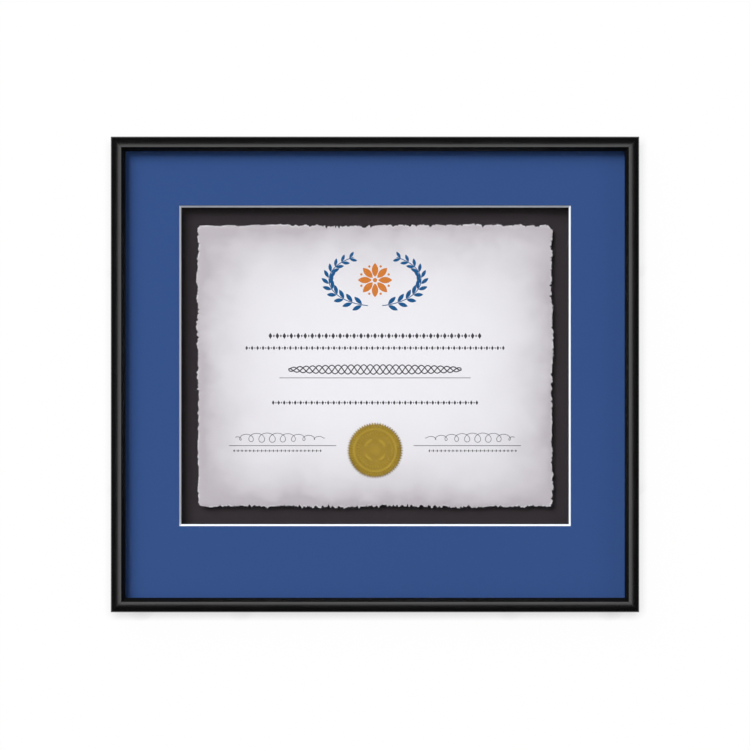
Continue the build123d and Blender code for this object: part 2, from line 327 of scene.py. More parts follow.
# Materials
def lacquer_material(finish):
    """Satin black lacquer over wood, with faint grain along each rail and a stained back."""
    material, tree = new_material("black_lacquer")
    grain = cloud(tree, place(tree, (0.05, 1.0, 1.0), "grain"), 1.1 * MM, detail=5.0)
    peel = cloud(tree, place(tree, attribute="grain"), 1.6 * MM, detail=2.0)
    coat = blended(tree, grain, rgba(finish.lacquer, 0.7), rgba(finish.lacquer, 1.2))
    stain = blended(tree, grain, rgba(finish.bare_back, 0.5), rgba(finish.bare_back, 1.5))
    depth = node(tree, "ShaderNodeSeparateXYZ", {0: place(tree, attribute="grain")}).outputs["Y"]
    behind = ranged(tree, depth, -0.12 * MM, -0.02 * MM, 0.0, 1.0)
    gloss = maths(tree, "ADD", ranged(tree, grain, *NOISE_RANGE, 0.2, 0.27),
                  maths(tree, "MULTIPLY", behind, 0.5))
    relief = bump(tree, peel, 0.004 * MM, bump(tree, grain, 0.008 * MM))
    finish_surface(tree, {"Base Color": blended(tree, behind, coat, stain),
                          "Roughness": gloss, "Normal": relief, "Specular IOR Level": 0.66})
    return material


def glass_material():
    """Low-reflection picture glass: clear to the front, more mirror at a slant."""
    material, tree = new_material("picture_glass")
    smear = cloud(tree, place(tree), 60 * MM, detail=4.0)
    clear = node(tree, "ShaderNodeBsdfTransparent", {"Color": (0.99, 0.99, 0.992, 1.0)})
    haze = ranged(tree, smear, *NOISE_RANGE, 0.02, 0.06)
    mirror = node(tree, "ShaderNodeBsdfGlossy", {"Color": (0.9, 0.95, 1.0, 1.0), "Roughness": haze})
    slant = node(tree, "ShaderNodeLayerWeight", {"Blend": 0.5}).outputs["Facing"]
    share_back = ranged(tree, maths(tree, "POWER", slant, 3.0), 0.0, 1.0, 0.0006, 0.3)
    mixed = node(tree, "ShaderNodeMixShader",
                 {0: share_back, 1: clear.outputs[0], 2: mirror.outputs[0]})
    node(tree, "ShaderNodeOutputMaterial", {"Surface": mixed.outputs[0]})
    return material


def board_material(name, tint, spread, fleck_size, roughness, depth):
    """Paper or board: fibres and flecks in one tint."""
    material, tree = new_material(name)
    fibre = cloud(tree, place(tree), fleck_size, detail=5.0, roughness=0.65)
    drift = cloud(tree, place(tree), 50 * MM, detail=2.0)
    tone = blended(tree, fibre, rgba(tint, 1 - spread), rgba(tint, 1 + spread))
    tone = blended(tree, ranged(tree, drift, *NOISE_RANGE, 0.0, 0.12), tone,
                   rgba(tint, 1 - 0.6 * spread))
    finish_surface(tree, {"Base Color": tone,
                          "Roughness": roughness_between(tree, fibre, roughness - 0.06, roughness),
                          "Normal": bump(tree, fibre, depth), "Specular IOR Level": 0.06})
    return material


def paper_material(finish, sizes):
    """Handmade paper: white in the middle, with a broad mottled shade toward each side."""
    dark_rim, fade_run = 2.5 * MM, 20.5 * MM
    mottle_shift, stain_shift, side_shift = 11 * MM, 30 * MM, 0.02
    material, tree = new_material("handmade_paper")
    source = node(tree, "ShaderNodeTexCoord").outputs["Object"]
    on_sheet = node(tree, "ShaderNodeMapping",
                    {"Vector": source, "Location": -SHEET_MIDDLE}).outputs["Vector"]
    across = node(tree, "ShaderNodeSeparateXYZ", {0: on_sheet}).outputs
    mottle = cloud(tree, place(tree, (0.7, 1.0, 1.0)), 11 * MM, detail=6.0, roughness=0.6,
                   distortion=0.5)
    stain = cloud(tree, on_sheet, 45 * MM)
    fibre = cloud(tree, on_sheet, 0.6 * MM, detail=4.0, roughness=0.6)
    shift = maths(tree, "MULTIPLY", maths(tree, "SUBTRACT", mottle, 0.5), mottle_shift)
    blotch = maths(tree, "MULTIPLY", maths(tree, "SUBTRACT", stain, 0.5), stain_shift)
    shift = maths(tree, "ADD", shift, blotch)
    shift = maths(tree, "ADD", shift, maths(tree, "MULTIPLY", across["X"], side_shift))
    tone = blended(tree, ranged(tree, fibre, *NOISE_RANGE, 0.0, 0.07), rgba(finish.paper),
                   rgba(finish.paper_edge))
    clear = []
    for axis, reach in (("X", sizes.width / 2), ("Z", sizes.height / 2)):
        out = maths(tree, "ABSOLUTE", across[axis], 0.0)
        inside = maths(tree, "SUBTRACT", reach - dark_rim, out)
        inside = maths(tree, "MAXIMUM", maths(tree, "ADD", inside, shift), 0.0)
        fade = maths(tree, "POWER", math.exp(-1), maths(tree, "MULTIPLY", inside, 1 / fade_run))
        clear.append(maths(tree, "SUBTRACT", 1.0, fade))
    tone = blended(tree, maths(tree, "MULTIPLY", *clear), rgba(finish.paper_edge), tone)
    inset = node(tree, "ShaderNodeAttribute", attribute_name="torn").outputs["Fac"]
    # Painted highlight: in patches within about a millimetre of the torn edge, the paper goes back
    # toward its full white, as if the torn fibres catch the light.
    painted_fibre_highlight = maths(tree, "MULTIPLY", ranged(tree, inset, 0.2 * MM, 1.2 * MM, 1.0, 0.0),
                   ranged(tree, cloud(tree, on_sheet, 3.5 * MM, detail=4.0), 0.42, 0.62, 0.0, 0.6))
    tone = blended(tree, painted_fibre_highlight, tone, rgba(finish.paper))
    relief = bump(tree, mottle, 0.02 * MM, bump(tree, fibre, 0.01 * MM))
    finish_surface(tree, {"Base Color": tone,
                          "Roughness": roughness_between(tree, fibre, 0.82, 0.95),
                          "Normal": relief, "Specular IOR Level": 0.06})
    return material


def ink_material(name, tint):
    """Printed ink with slight unevenness."""
    material, tree = new_material(name)
    patch = cloud(tree, place(tree), 1.2 * MM, detail=4.0)
    finish_surface(tree, {"Base Color": blended(tree, patch, rgba(tint, 0.88), rgba(tint, 1.12)),
                          "Roughness": roughness_between(tree, patch, 0.5, 0.7),
                          "Specular IOR Level": 0.3})
    return material


def gold_material(finish):
    """Gold foil, brushed a little, with painted highlight on raised work, painted shade on sunk."""
    # Tints for the painted shade on the sunk work and the painted highlight on the raised work.
    sunk_painted_shade, raised_painted_highlight = (0.86, 0.86, 0.82, 1.0), (1.2, 1.22, 1.3, 1.0)
    material, tree = new_material("gold_foil")
    crinkle = cloud(tree, place(tree), 2.5 * MM, detail=5.0, roughness=0.6, distortion=0.4)
    cloudy = cloud(tree, place(tree), 12 * MM, detail=2.0)
    raised = node(tree, "ShaderNodeAttribute", attribute_name="relief").outputs["Fac"]
    tone = blended(tree, cloudy, rgba(finish.gold, 0.86), rgba(finish.gold, 1.1))
    # Painted light: the embossing is drawn lighter where it stands high and darker where it is
    # sunk, as a highlight and a shade.
    painted_relief_light = blended(tree, raised, sunk_painted_shade, raised_painted_highlight)
    tone = blended(tree, 1.0, tone, painted_relief_light, "MULTIPLY")
    finish_surface(tree, {"Base Color": tone, "Metallic": 0.55,
                          "Roughness": roughness_between(tree, crinkle, 0.32, 0.46),
                          "Normal": bump(tree, crinkle, 0.03 * MM)})
    return material


def hardboard_material(finish):
    """Pressed fibre board: brown, with dark and light strands."""
    material, tree = new_material("hardboard")
    strands = cloud(tree, place(tree, (1.0, 1.0, 0.35)), 2.2 * MM, detail=6.0, roughness=0.7,
                    distortion=1.2)
    drift = cloud(tree, place(tree), 70 * MM)
    dots = cells(tree, 6 * MM)
    tone = blended(tree, ranged(tree, strands, *NOISE_RANGE, 0.0, 1.0),
                   rgba(finish.hardboard, 0.72), rgba(finish.hardboard, 1.25))
    tone = blended(tree, ranged(tree, drift, *NOISE_RANGE, 0.0, 0.35), tone,
                   rgba(finish.hardboard, 0.8))
    fleck = ranged(tree, dots, 0.06, 0.14, 0.55, 0.0)
    tone = blended(tree, fleck, tone, rgba(finish.hardboard, 0.4))
    finish_surface(tree, {"Base Color": tone,
                          "Roughness": roughness_between(tree, strands, 0.55, 0.75),
                          "Normal": bump(tree, strands, 0.03 * MM), "Specular IOR Level": 0.3})
    return material


def metal_material(name, tint, smoothest, roughest):
    """Zinc-plated steel with faint spangle and rolling marks."""
    material, tree = new_material(name)
    spangle = cells(tree, 1.6 * MM)
    marks = cloud(tree, place(tree, (0.15, 1.0, 1.0)), 0.5 * MM, detail=4.0)
    patch = cloud(tree, place(tree), 3 * MM)
    tone = blended(tree, spangle, rgba(tint, 0.82), rgba(tint, 1.05))
    tone = blended(tree, ranged(tree, patch, *PATCH_RANGE, 0.0, 0.5), tone, rgba(tint, 0.62))
    finish_surface(tree, {"Base Color": tone, "Metallic": 1.0,
                          "Roughness": ranged(tree, patch, *NOISE_RANGE, smoothest, roughest),
                          "Normal": bump(tree, marks, 0.004 * MM)})
    return material


def rubber_material(finish):
    """Moulded rubber with dust in its grain."""
    material, tree = new_material("rubber")
    grain = cloud(tree, place(tree), 0.4 * MM)
    dust = cloud(tree, place(tree), 3 * MM, detail=4.0)
    tone = blended(tree, ranged(tree, dust, *PATCH_RANGE, 0.0, 0.35), rgba(finish.rubber),
                   rgba(finish.rubber, 3.0))
    finish_surface(tree, {"Base Color": tone, "Roughness": roughness_between(tree, dust, 0.55, 0.8),
                          "Normal": bump(tree, grain, 0.01 * MM), "Specular IOR Level": 0.4})
    return material


# Mesh helpers
def add_piece(name, mesh, material, body=ROOT, nodes=()):
    """Object for a finished mesh, riding on its body in place of the nodes it stands for."""
    mesh.name = name
    mesh.materials.clear()
    mesh.materials.append(material)
    piece = bpy.data.objects.new(name, mesh)
    bpy.context.scene.collection.objects.link(piece)
    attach(piece, body)
    if nodes:
        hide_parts(*nodes)
    return piece


def dress_node(name, material):
    """Give a construction node its finish."""
    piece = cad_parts[name]
    for slot in piece.material_slots:
        slot.material = material


def smooth(mesh, degrees):
    """Smooth shading with edges kept sharp past an angle."""
    mesh.shade_smooth()
    mesh.set_sharp_from_angle(angle=math.radians(degrees))


def crisp(mesh, degrees):
    """Smooth shading that keeps large faces flat, so that the narrow easings take the turn."""
    smooth(mesh, degrees)
    holder = helper_object(mesh)
    holder.modifiers.new("weighted", "WEIGHTED_NORMAL").keep_sharp = True
    return solved(holder)


def to_mesh(shape, name):
    """Mesh from a bmesh with its faces turned outward."""
    bmesh.ops.recalc_face_normals(shape, faces=shape.faces)
    mesh = bpy.data.meshes.new(name)
    shape.to_mesh(mesh)
    shape.free()
    return mesh


def rounded(before, corner, after, radius, steps):
    """Arc that rounds one corner of an outline."""
    before, corner, after = Vector(before), Vector(corner), Vector(after)
    toward, away = (before - corner).normalized(), (after - corner).normalized()
    half = toward.angle(away) / 2
    centre = corner + (toward + away).normalized() * radius / math.sin(half)
    first = corner + toward * radius / math.tan(half) - centre
    last = corner + away * radius / math.tan(half) - centre
    return [tuple(centre + first.slerp(last, i / steps) * radius) for i in range(steps + 1)]


def arc(centre, radius, start, end, steps):
    """Points of an arc, angles in radians."""
    angles = [start + (end - start) * i / steps for i in range(steps + 1)]
    return [(centre[0] + radius * math.cos(a), centre[1] + radius * math.sin(a)) for a in angles]


def circle(centre, radius, steps):
    """Points of a full circle, the first not repeated."""
    return arc(centre, radius, 0.0, math.tau, steps)[:-1]


def quarter_turn(steps):
    """Angles of a quarter turn, from 0."""
    return [math.pi / 2 * i / steps for i in range(steps + 1)]


def skinned(shape, rings):
    """Join rings of corners into a closed skin with a face at each end."""
    for lower, upper in zip(rings, rings[1:]):
        for i in range(len(lower)):
            shape.faces.new((lower[i - 1], lower[i], upper[i], upper[i - 1]))
    shape.faces.new(rings[0])
    shape.faces.new(rings[-1])


def stamped(name, outline, holes, cuts, rise, thickness, ease):
    """Sheet-metal piece in the XZ plane: outline and holes cut, bent by a rise along Y, eased.
    Each cut is a coordinate axis and a place on it where the sheet gets a line to bend at."""
    cut_angle, level_drop = math.radians(50), 0.8 * thickness
    shape = bmesh.new()
    for loop in [outline] + holes:
        corners = [shape.verts.new((x, 0.0, z)) for x, z in loop]
        for i, corner in enumerate(corners):
            shape.edges.new((corner, corners[i - 1]))
    bmesh.ops.triangle_fill(shape, edges=shape.edges[:], use_beauty=True, normal=(0, 1, 0))
    for axis, position in cuts:
        normal = Vector((axis == "x", 0.0, axis == "z"))
        bmesh.ops.bisect_plane(shape, geom=shape.verts[:] + shape.edges[:] + shape.faces[:],
                               plane_co=normal * position, plane_no=normal, dist=TOUCH)
    grown = bmesh.ops.extrude_face_region(shape, geom=shape.faces[:])["geom"]
    raised = [item for item in grown if isinstance(item, bmesh.types.BMVert)]
    bmesh.ops.translate(shape, verts=raised, vec=(0, thickness, 0))
    for corner in shape.verts:
        corner.co.y += rise(corner.co.x, corner.co.z)
    bmesh.ops.recalc_face_normals(shape, faces=shape.faces)
    sharp = [edge for edge in shape.edges if edge.calc_face_angle(0.0) > cut_angle
             and abs(edge.verts[0].co.y - edge.verts[1].co.y) < level_drop]
    bmesh.ops.bevel(shape, geom=sharp, offset=ease, segments=3, profile=0.5, affect="EDGES",
                    clamp_overlap=True)
    return to_mesh(shape, name)


def turned(shape, profile, steps, top=True):
    """Lathe a profile of (radius, y) about the Y axis into a bmesh, and return its last ring.
    The last ring is capped if asked."""
    angles = [math.tau * i / steps for i in range(steps)]
    rings = []
    for radius, y in profile:
        if radius < TOUCH:
            rings.append([shape.verts.new((0, y, 0))])
        else:
            rings.append([shape.verts.new((radius * math.cos(a), y, radius * math.sin(a)))
                          for a in angles])
    for lower, upper in zip(rings, rings[1:]):
        for i in range(steps):
            corners = [lower[i % len(lower)], lower[(i + 1) % len(lower)],
                       upper[(i + 1) % len(upper)], upper[i % len(upper)]]
            shape.faces.new(list(dict.fromkeys(corners)))
    if top and len(rings[-1]) > 1:
        shape.faces.new(rings[-1])
    return rings[-1]


# Geometry node trees
def new_tree(name, sockets):
    """Geometry node tree with named inputs, its input node and a geometry output."""
    tree = bpy.data.node_groups.new(name, "GeometryNodeTree")
    for label, kind in sockets:
        tree.interface.new_socket(name=label, in_out="INPUT", socket_type="NodeSocket" + kind)
    tree.interface.new_socket(name="Geometry", in_out="OUTPUT", socket_type="NodeSocketGeometry")
    return tree, tree.nodes.new("NodeGroupInput").outputs


def close_tree(tree, geometry, material):
    """Realize the instances, set the material and end the tree."""
    real = node(tree, "GeometryNodeRealizeInstances", {"Geometry": geometry})
    dressed = node(tree, "GeometryNodeSetMaterial",
                   {"Geometry": real.outputs[0], "Material": material})
    node(tree, "NodeGroupOutput", {0: dressed.outputs[0]})


def grow(tree, base, values):
    """Plain mesh that a tree makes from a base mesh and the values of its inputs."""
    holder = bpy.data.objects.new(tree.name + "_holder", base)
    bpy.context.scene.collection.objects.link(holder)
    modifier = holder.modifiers.new(tree.name, "NODES")
    modifier.node_group = tree
    for socket in tree.interface.items_tree:
        if socket.in_out == "INPUT" and socket.name in values:
            modifier[socket.identifier] = values[socket.name]
    return solved(holder)


def solved(holder):
    """Plain mesh of a helper object with its modifiers applied; the helper is removed."""
    graph = bpy.context.evaluated_depsgraph_get()
    mesh = bpy.data.meshes.new_from_object(holder.evaluated_get(graph))
    bpy.data.objects.remove(holder)
    return mesh


def helper_object(data):
    """Object that holds a shape for a tree or a modifier; it is removed after use."""
    helper = bpy.data.objects.new(data.name, data)
    bpy.context.scene.collection.objects.link(helper)
    return helper


def rail_tree():
    """Sweep a section along a line and cut both ends to a mitre.
    The mitred position is kept as the attribute grain: along, forward (negative) and inward."""
    tree, given = new_tree("mitred_rail", [("Section", "Object"), ("Length", "Float"),
                                           ("Material", "Material")])
    half = maths(tree, "MULTIPLY", given["Length"], 0.5)
    start = node(tree, "ShaderNodeCombineXYZ", {0: maths(tree, "MULTIPLY", given["Length"], -0.5)})
    end = node(tree, "ShaderNodeCombineXYZ", {0: half})
    line = node(tree, "GeometryNodeCurvePrimitiveLine",
                {"Start": start.outputs[0], "End": end.outputs[0]})
    section = node(tree, "GeometryNodeObjectInfo", {"Object": given["Section"]})
    swept = node(tree, "GeometryNodeCurveToMesh", {"Curve": line.outputs[0], "Fill Caps": True,
                                                   "Profile Curve": section.outputs["Geometry"]})
    position = node(tree, "GeometryNodeInputPosition").outputs[0]
    at = node(tree, "ShaderNodeSeparateXYZ", {0: position}).outputs
    keep = maths(tree, "SUBTRACT", 1.0, maths(tree, "DIVIDE", at["Z"], half))
    sheared = node(tree, "ShaderNodeCombineXYZ",
                   {0: maths(tree, "MULTIPLY", at["X"], keep), 1: at["Y"], 2: at["Z"]})
    mitred = node(tree, "GeometryNodeSetPosition",
                  {"Geometry": swept.outputs[0], "Position": sheared.outputs[0]})
    kept = node(tree, "GeometryNodeStoreNamedAttribute",
                {"Geometry": mitred.outputs[0], "Name": "grain",
                 "Value": node(tree, "GeometryNodeInputPosition").outputs[0]},
                data_type="FLOAT_VECTOR", domain="POINT")
    close_tree(tree, kept.outputs[0], given["Material"])
    return tree


def repeat_tree():
    """Put a shape on each point, turned about Y and sized by the points' own attributes.
    Loose turn adds a random turn of up to that angle either way."""
    tree, given = new_tree("repeat_on_points", [("Points", "Geometry"), ("Shape", "Object"),
                                                ("Loose turn", "Float"), ("Seed", "Int"),
                                                ("Material", "Material")])
    turn = node(tree, "GeometryNodeInputNamedAttribute", {"Name": "turn"}, data_type="FLOAT")
    size = node(tree, "GeometryNodeInputNamedAttribute", {"Name": "size"}, data_type="FLOAT")
    loose = node(tree, "FunctionNodeRandomValue",
                 {"Min": maths(tree, "MULTIPLY", given["Loose turn"], -1.0),
                  "Max": given["Loose turn"], "Seed": given["Seed"]},
                 data_type="FLOAT").outputs["Value"]
    euler = node(tree, "ShaderNodeCombineXYZ", {1: maths(tree, "ADD", turn.outputs[0], loose)})
    rotation = node(tree, "FunctionNodeEulerToRotation", {0: euler.outputs[0]})
    shape = node(tree, "GeometryNodeObjectInfo", {"Object": given["Shape"]})
    placed = node(tree, "GeometryNodeInstanceOnPoints",
                  {"Points": given["Points"], "Instance": shape.outputs["Geometry"],
                   "Rotation": rotation.outputs[0], "Scale": size.outputs[0]})
    close_tree(tree, placed.outputs[0], given["Material"])
    return tree


def repeated(name, shape, places, material, loose_turn=0.0, seed=1):
    """Copies of a mesh at places of (x, y, z, turn, size), as one plain mesh."""
    points = bpy.data.meshes.new(name + "_points")
    points.from_pydata([spot[:3] for spot in places], [], [])
    for key, column in (("turn", 3), ("size", 4)):
        values = points.attributes.new(key, "FLOAT", "POINT")
        values.data.foreach_set("value", [spot[column] for spot in places])
    helper = helper_object(shape)
    mesh = grow(repeat_tree(), points, {"Shape": helper, "Loose turn": loose_turn, "Seed": seed,
                                        "Material": material})
    bpy.data.objects.remove(helper)
    for key in ("turn", "size"):
        if key in mesh.attributes:
            mesh.attributes.remove(mesh.attributes[key])
    return mesh


# Rails
def moulding_section(sizes):
    """Outline of the rail: first value inward from the outer edge, second forward from the back."""
    depth, rabbet = RAIL_BACK - CREST, RAIL_BACK - RABBET
    rear = RAIL_WIDTH - sizes.rabbet_lip
    crest_in = RAIL_WIDTH - sizes.bevel_width
    crest_out = crest_in - sizes.crest_flat
    crown = (crest_out ** 2 + sizes.crown_rise ** 2) / (2 * sizes.crown_rise)
    crown_centre = (crest_out, depth - crown)
    radius = sizes.shoulder_radius
    rise = math.sqrt((crown - radius) ** 2 - (crest_out - radius) ** 2)
    contact = math.atan2(rise, radius - crest_out)
    shoulder_centre = (radius, crown_centre[1] + rise)
    outer, inner = (crest_out, depth), (crest_in, depth)
    sight, sight_back = (RAIL_WIDTH, rabbet + sizes.lip_thickness), (RAIL_WIDTH, rabbet)
    points = [(sizes.back_ease, 0.0), (0.0, sizes.back_ease)]
    points += arc(shoulder_centre, radius, math.pi, contact, steps=14)
    points += arc(crown_centre, crown, contact, math.pi / 2, steps=14)[1:]
    points += rounded(outer, inner, sight, sizes.crest_round, steps=5)
    points += rounded(inner, sight, sight_back, sizes.sight_round, steps=5)
    return points + [sight_back, (rear, rabbet), (rear, 0.0)]


def section_curve(points):
    """Closed curve whose axes the sweep turns to forward and inward."""
    curve = bpy.data.curves.new("moulding_section", "CURVE")
    curve.dimensions = "3D"
    spline = curve.splines.new("POLY")
    spline.points.add(len(points) - 1)
    for point, (inward, forward) in zip(spline.points, points):
        point.co = (forward, -inward, 0.0, 1.0)
    spline.use_cyclic_u = True
    return curve


def nail_slots():
    """Cutter for the slots in the backs of the rails, in which the corner nails stand."""
    clearance, over, top_band = 0.03 * MM, 1.0 * MM, 0.5 * MM
    shape = bmesh.new()
    shape.from_mesh(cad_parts["corner_v_nails"].data)
    bmesh.ops.remove_doubles(shape, verts=shape.verts, dist=WELD)
    bmesh.ops.recalc_face_normals(shape, faces=shape.faces)
    for corner in shape.verts:
        corner.co += corner.normal * clearance
    top = max(corner.co.y for corner in shape.verts)
    for corner in shape.verts:
        if corner.co.y > top - top_band:
            corner.co.y = RAIL_BACK + over
    return to_mesh(shape, "nail_slots")


def build_rails(settings):
    """Four mitred rails, swept from one section and turned into place."""
    material = lacquer_material(settings.finish)
    tree = rail_tree()
    section = helper_object(section_curve(moulding_section(settings.moulding)))
    slots = helper_object(nail_slots())
    for quarter, side in enumerate(SIDES):
        level = quarter % 2 == 0
        run, across = (OUTER_WIDTH, OUTER_HEIGHT) if level else (OUTER_HEIGHT, OUTER_WIDTH)
        mesh = grow(tree, bpy.data.meshes.new("rail"),
                    {"Section": section, "Length": run, "Material": material})
        mesh.transform(Matrix.Translation((0, 0, MIDDLE_Z))
                       @ Matrix.Rotation(quarter * math.pi / 2, 4, "Y")
                       @ Matrix.Translation((0, RAIL_BACK, -across / 2)))
        mesh = slotted(eased_ends(mesh, settings.moulding.mitre_ease), slots)
        add_piece("moulding_" + side, crisp(mesh, degrees=30.0), material,
                  nodes=["rail_" + side])
    bpy.data.objects.remove(section)
    bpy.data.objects.remove(slots)


def eased_ends(mesh, ease):
    """Round the edges of a rail's two cut ends, its only faces with more than four corners."""
    shape = bmesh.new()
    shape.from_mesh(mesh)
    ends = {edge for face in shape.faces if len(face.verts) > 4 for edge in face.edges}
    bmesh.ops.bevel(shape, geom=list(ends), offset=ease, segments=2, profile=0.5, affect="EDGES")
    return to_mesh(shape, "rail_eased")


def slotted(mesh, slots):
    """Cut the nail slots out of a rail."""
    holder = helper_object(mesh)
    cut = holder.modifiers.new("slots", "BOOLEAN")
    cut.object = slots
    cut.operation = "DIFFERENCE"
    cut.solver = "EXACT"
    result = solved(holder)
    if "custom_normal" in result.attributes:
        result.attributes.remove(result.attributes["custom_normal"])
    shape = bmesh.new()
    shape.from_mesh(result)
    bmesh.ops.remove_doubles(shape, verts=shape.verts, dist=SLIVER)
    return to_mesh(shape, "rail_slotted")


# Pane, mat and boards
def build_glazing():
    """Clear pane in front of the mat."""
    dress_node("glazing", glass_material())


def build_mat(settings):
    """Blue face paper over the white core that shows at the bevel."""
    finish = settings.finish
    dress_node("mat_face_paper", board_material("mat_paper", finish.mat_blue, spread=0.07,
                                                fleck_size=0.7 * MM, roughness=0.92,
                                                depth=0.03 * MM))
    dress_node("mat_core", board_material("mat_core", finish.mat_white, spread=0.03,
                                          fleck_size=0.4 * MM, roughness=0.9, depth=0.02 * MM))


def build_boards(settings):
    """Charcoal mount board, foam spacers and the riser under the certificate."""
    finish = settings.finish
    dress_node("mount_board", board_material("charcoal_board", finish.board, spread=0.10,
                                             fleck_size=0.6 * MM, roughness=0.93,
                                             depth=0.03 * MM))
    foam = board_material("foam_board", finish.foam, spread=0.05, fleck_size=0.9 * MM,
                          roughness=0.9, depth=0.08 * MM)
    for name in ("spacer_top", "spacer_bottom", "spacer_left", "spacer_right", "float_riser"):
        dress_node(name, foam)


# Certificate
def torn_edge(sizes):
    """Loop of the torn outline: base point, inward direction and how far the tear goes in."""
    half = Vector((sizes.width / 2, sizes.height / 2))
    centre = SHEET_MIDDLE.xz
    radius = sizes.corner_radius
    loop = []
    for quarter in range(4):
        run, reach = (half.x, half.y) if quarter % 2 == 0 else (half.y, half.x)
        turn = Matrix.Rotation(quarter * math.pi / 2, 2)
        straight = 2 * (run - radius)
        steps = round(straight / sizes.deckle_step)
        side = [(Vector((-run + radius + straight * i / steps, -reach)), Vector((0.0, 1.0)))
                for i in range(steps)]
        corner_steps = round(radius * math.pi / 2 / sizes.deckle_step)
        for i in range(corner_steps):
            angle = -math.pi / 2 * (1 - i / corner_steps)
            out = Vector((math.cos(angle), math.sin(angle)))
            side.append((Vector((run - radius, -reach + radius)) + out * radius, -out))
        loop += [(turn @ at + centre, turn @ inward) for at, inward in side]
    return [(at, inward, tear(at, sizes.deckle_depth)) for at, inward in loop]


def tear(at, depth):
    """How far the paper is torn back at a point of its edge, where depth scales every part of it.
    Each part is noise with its own pitch and layer, and some stretches are more ragged."""
    def wave(pitch, layer):
        return noise.noise(Vector((at.x / pitch, at.y / pitch, layer)))
    crack_level, tuft_level = 0.16, -0.2
    drift = 0.7 * wave(46 * MM, 6.3)
    bays = 0.45 * wave(15 * MM, 3.1)
    bites = 0.37 * wave(4.3 * MM, 7.7)
    spike = wave(1.9 * MM, 2.2)
    cracks = 1.3 * max(0.0, spike - crack_level) - 0.8 * max(0.0, tuft_level - spike)
    fibres = 0.8 * wave(1.4 * MM, 1.3) + 0.6 * wave(0.7 * MM, 5.9)
    ragged = max(0.65, 0.95 + 0.8 * wave(90 * MM, 1.7))
    return depth * (drift + bays + bites + ragged * (cracks + fibres))


def sheet_ring(loop, inset, sizes, fall):
    """One ring of points at a distance in from the torn edge, where the front drops by a fall."""
    feather, tear_fade, edge_pull = 1.6 * MM, 8 * MM, 0.02
    broad_waves, small_waves, fibre_waves = 28, 95, 700  # in a metre
    centre = SHEET_MIDDLE.xz
    margin = 2 * sizes.wave_margin
    inner = Vector((sizes.width / 2 - margin, sizes.height / 2 - margin))
    calm = max(0.0, 1 - inset / sizes.wave_margin)
    full = min(1.0, inset / feather)

    def ripple(spot, waves, layer):
        return noise.noise(Vector((spot.x * waves, spot.y * waves, layer)))

    ring = []
    for at, inward, torn in loop:
        edge, offset = at + inward * torn * max(0.0, 1 - inset / tear_fade), at - centre
        goal = centre + Vector((max(-inner.x, min(inner.x, offset.x)),
                                max(-inner.y, min(inner.y, offset.y))))
        goal += (edge - goal) * edge_pull
        spot = edge.lerp(goal, inset / margin)
        lift = ripple(spot, broad_waves, 5.5) * calm ** 1.5
        lift += 0.5 * ripple(spot, small_waves, 2.5) * calm ** 3
        rough = 0.6 + 0.4 * ripple(spot, fibre_waves, 0.7)
        depth = SHEET_FRONT + fall * (1 - full) * rough - sizes.edge_curl * lift
        ring.append(Vector((spot.x, depth, spot.y)))
    return ring


def build_certificate(settings):
    """Handmade sheet with a feathered torn edge and a gentle wave round its margin."""
    sizes = settings.sheet
    insets = [inset * MM for inset in (0.0, 0.25, 0.7, 1.7, 4.0, 7.0, 11.0, 15.5, 20.0, 26.0)]
    back_ring = 3
    loop = torn_edge(sizes)
    fall = SHEET_BACK - SHEET_FRONT - sizes.edge_thickness
    front = [sheet_ring(loop, inset, sizes, fall) for inset in insets]
    under_edge = [spot + Vector((0, sizes.edge_thickness, 0)) for spot in front[0]]
    back = [Vector((spot.x, SHEET_BACK, spot.z)) for spot in front[back_ring]]
    shape = bmesh.new()
    torn = shape.verts.layers.float.new("torn")
    rings = [[shape.verts.new(spot) for spot in ring] for ring in (back, under_edge, *front)]
    for inset, ring in zip((insets[back_ring], 0.0, *insets), rings):
        for corner in ring:
            corner[torn] = inset
    skinned(shape, rings)
    mesh = to_mesh(shape, "certificate_sheet")
    smooth(mesh, degrees=60.0)
    add_piece("certificate_sheet", mesh, paper_material(settings.finish, sizes),
              nodes=["certificate"])


# Print
def flat_shape(name, outline, height):
    """Thin closed shape in the XZ plane, standing forward from y = 0."""
    shape = bmesh.new()
    skinned(shape, [[shape.verts.new((x, y, z)) for x, z in outline] for y in (0.0, -height)])
    return to_mesh(shape, name)


def ribbon(name, points, width, height):
    """Printed line of one width along points of (x, z)."""
    path = [Vector(point) for point in points]
    left, right = [], []
    for i, point in enumerate(path):
        along = (path[min(i + 1, len(path) - 1)] - path[max(i - 1, 0)]).normalized()
        across = Vector((-along.y, along.x)) * width / 2
        left.append(point + across)
        right.append(point - across)
    shape = bmesh.new()
    rows = [[shape.verts.new((spot.x, y, spot.y)) for spot in side]
            for side, y in ((left, 0.0), (left, -height), (right, -height), (right, 0.0))]
    for i in range(len(path) - 1):
        for row, following in zip(rows, rows[1:] + rows[:1]):
            shape.faces.new((row[i], row[i + 1], following[i + 1], following[i]))
    for end in (0, -1):
        shape.faces.new([row[end] for row in rows])
    return to_mesh(shape, name)


def leaf_outline(start, reach, half_width, steps=8):
    """Pointed leaf along +Z."""
    fullness = 0.8
    right = [(half_width * math.sin(math.pi * i / steps) ** fullness, start + reach * i / steps)
             for i in range(steps + 1)]
    left = [(-x, z) for x, z in reversed(right[1:-1])]
    return right + left


def joined(meshes, offset):
    """One mesh from several, moved by an offset."""
    shape = bmesh.new()
    for mesh in meshes:
        shape.from_mesh(mesh)
    bmesh.ops.translate(shape, verts=shape.verts, vec=offset)
    return to_mesh(shape, "joined")


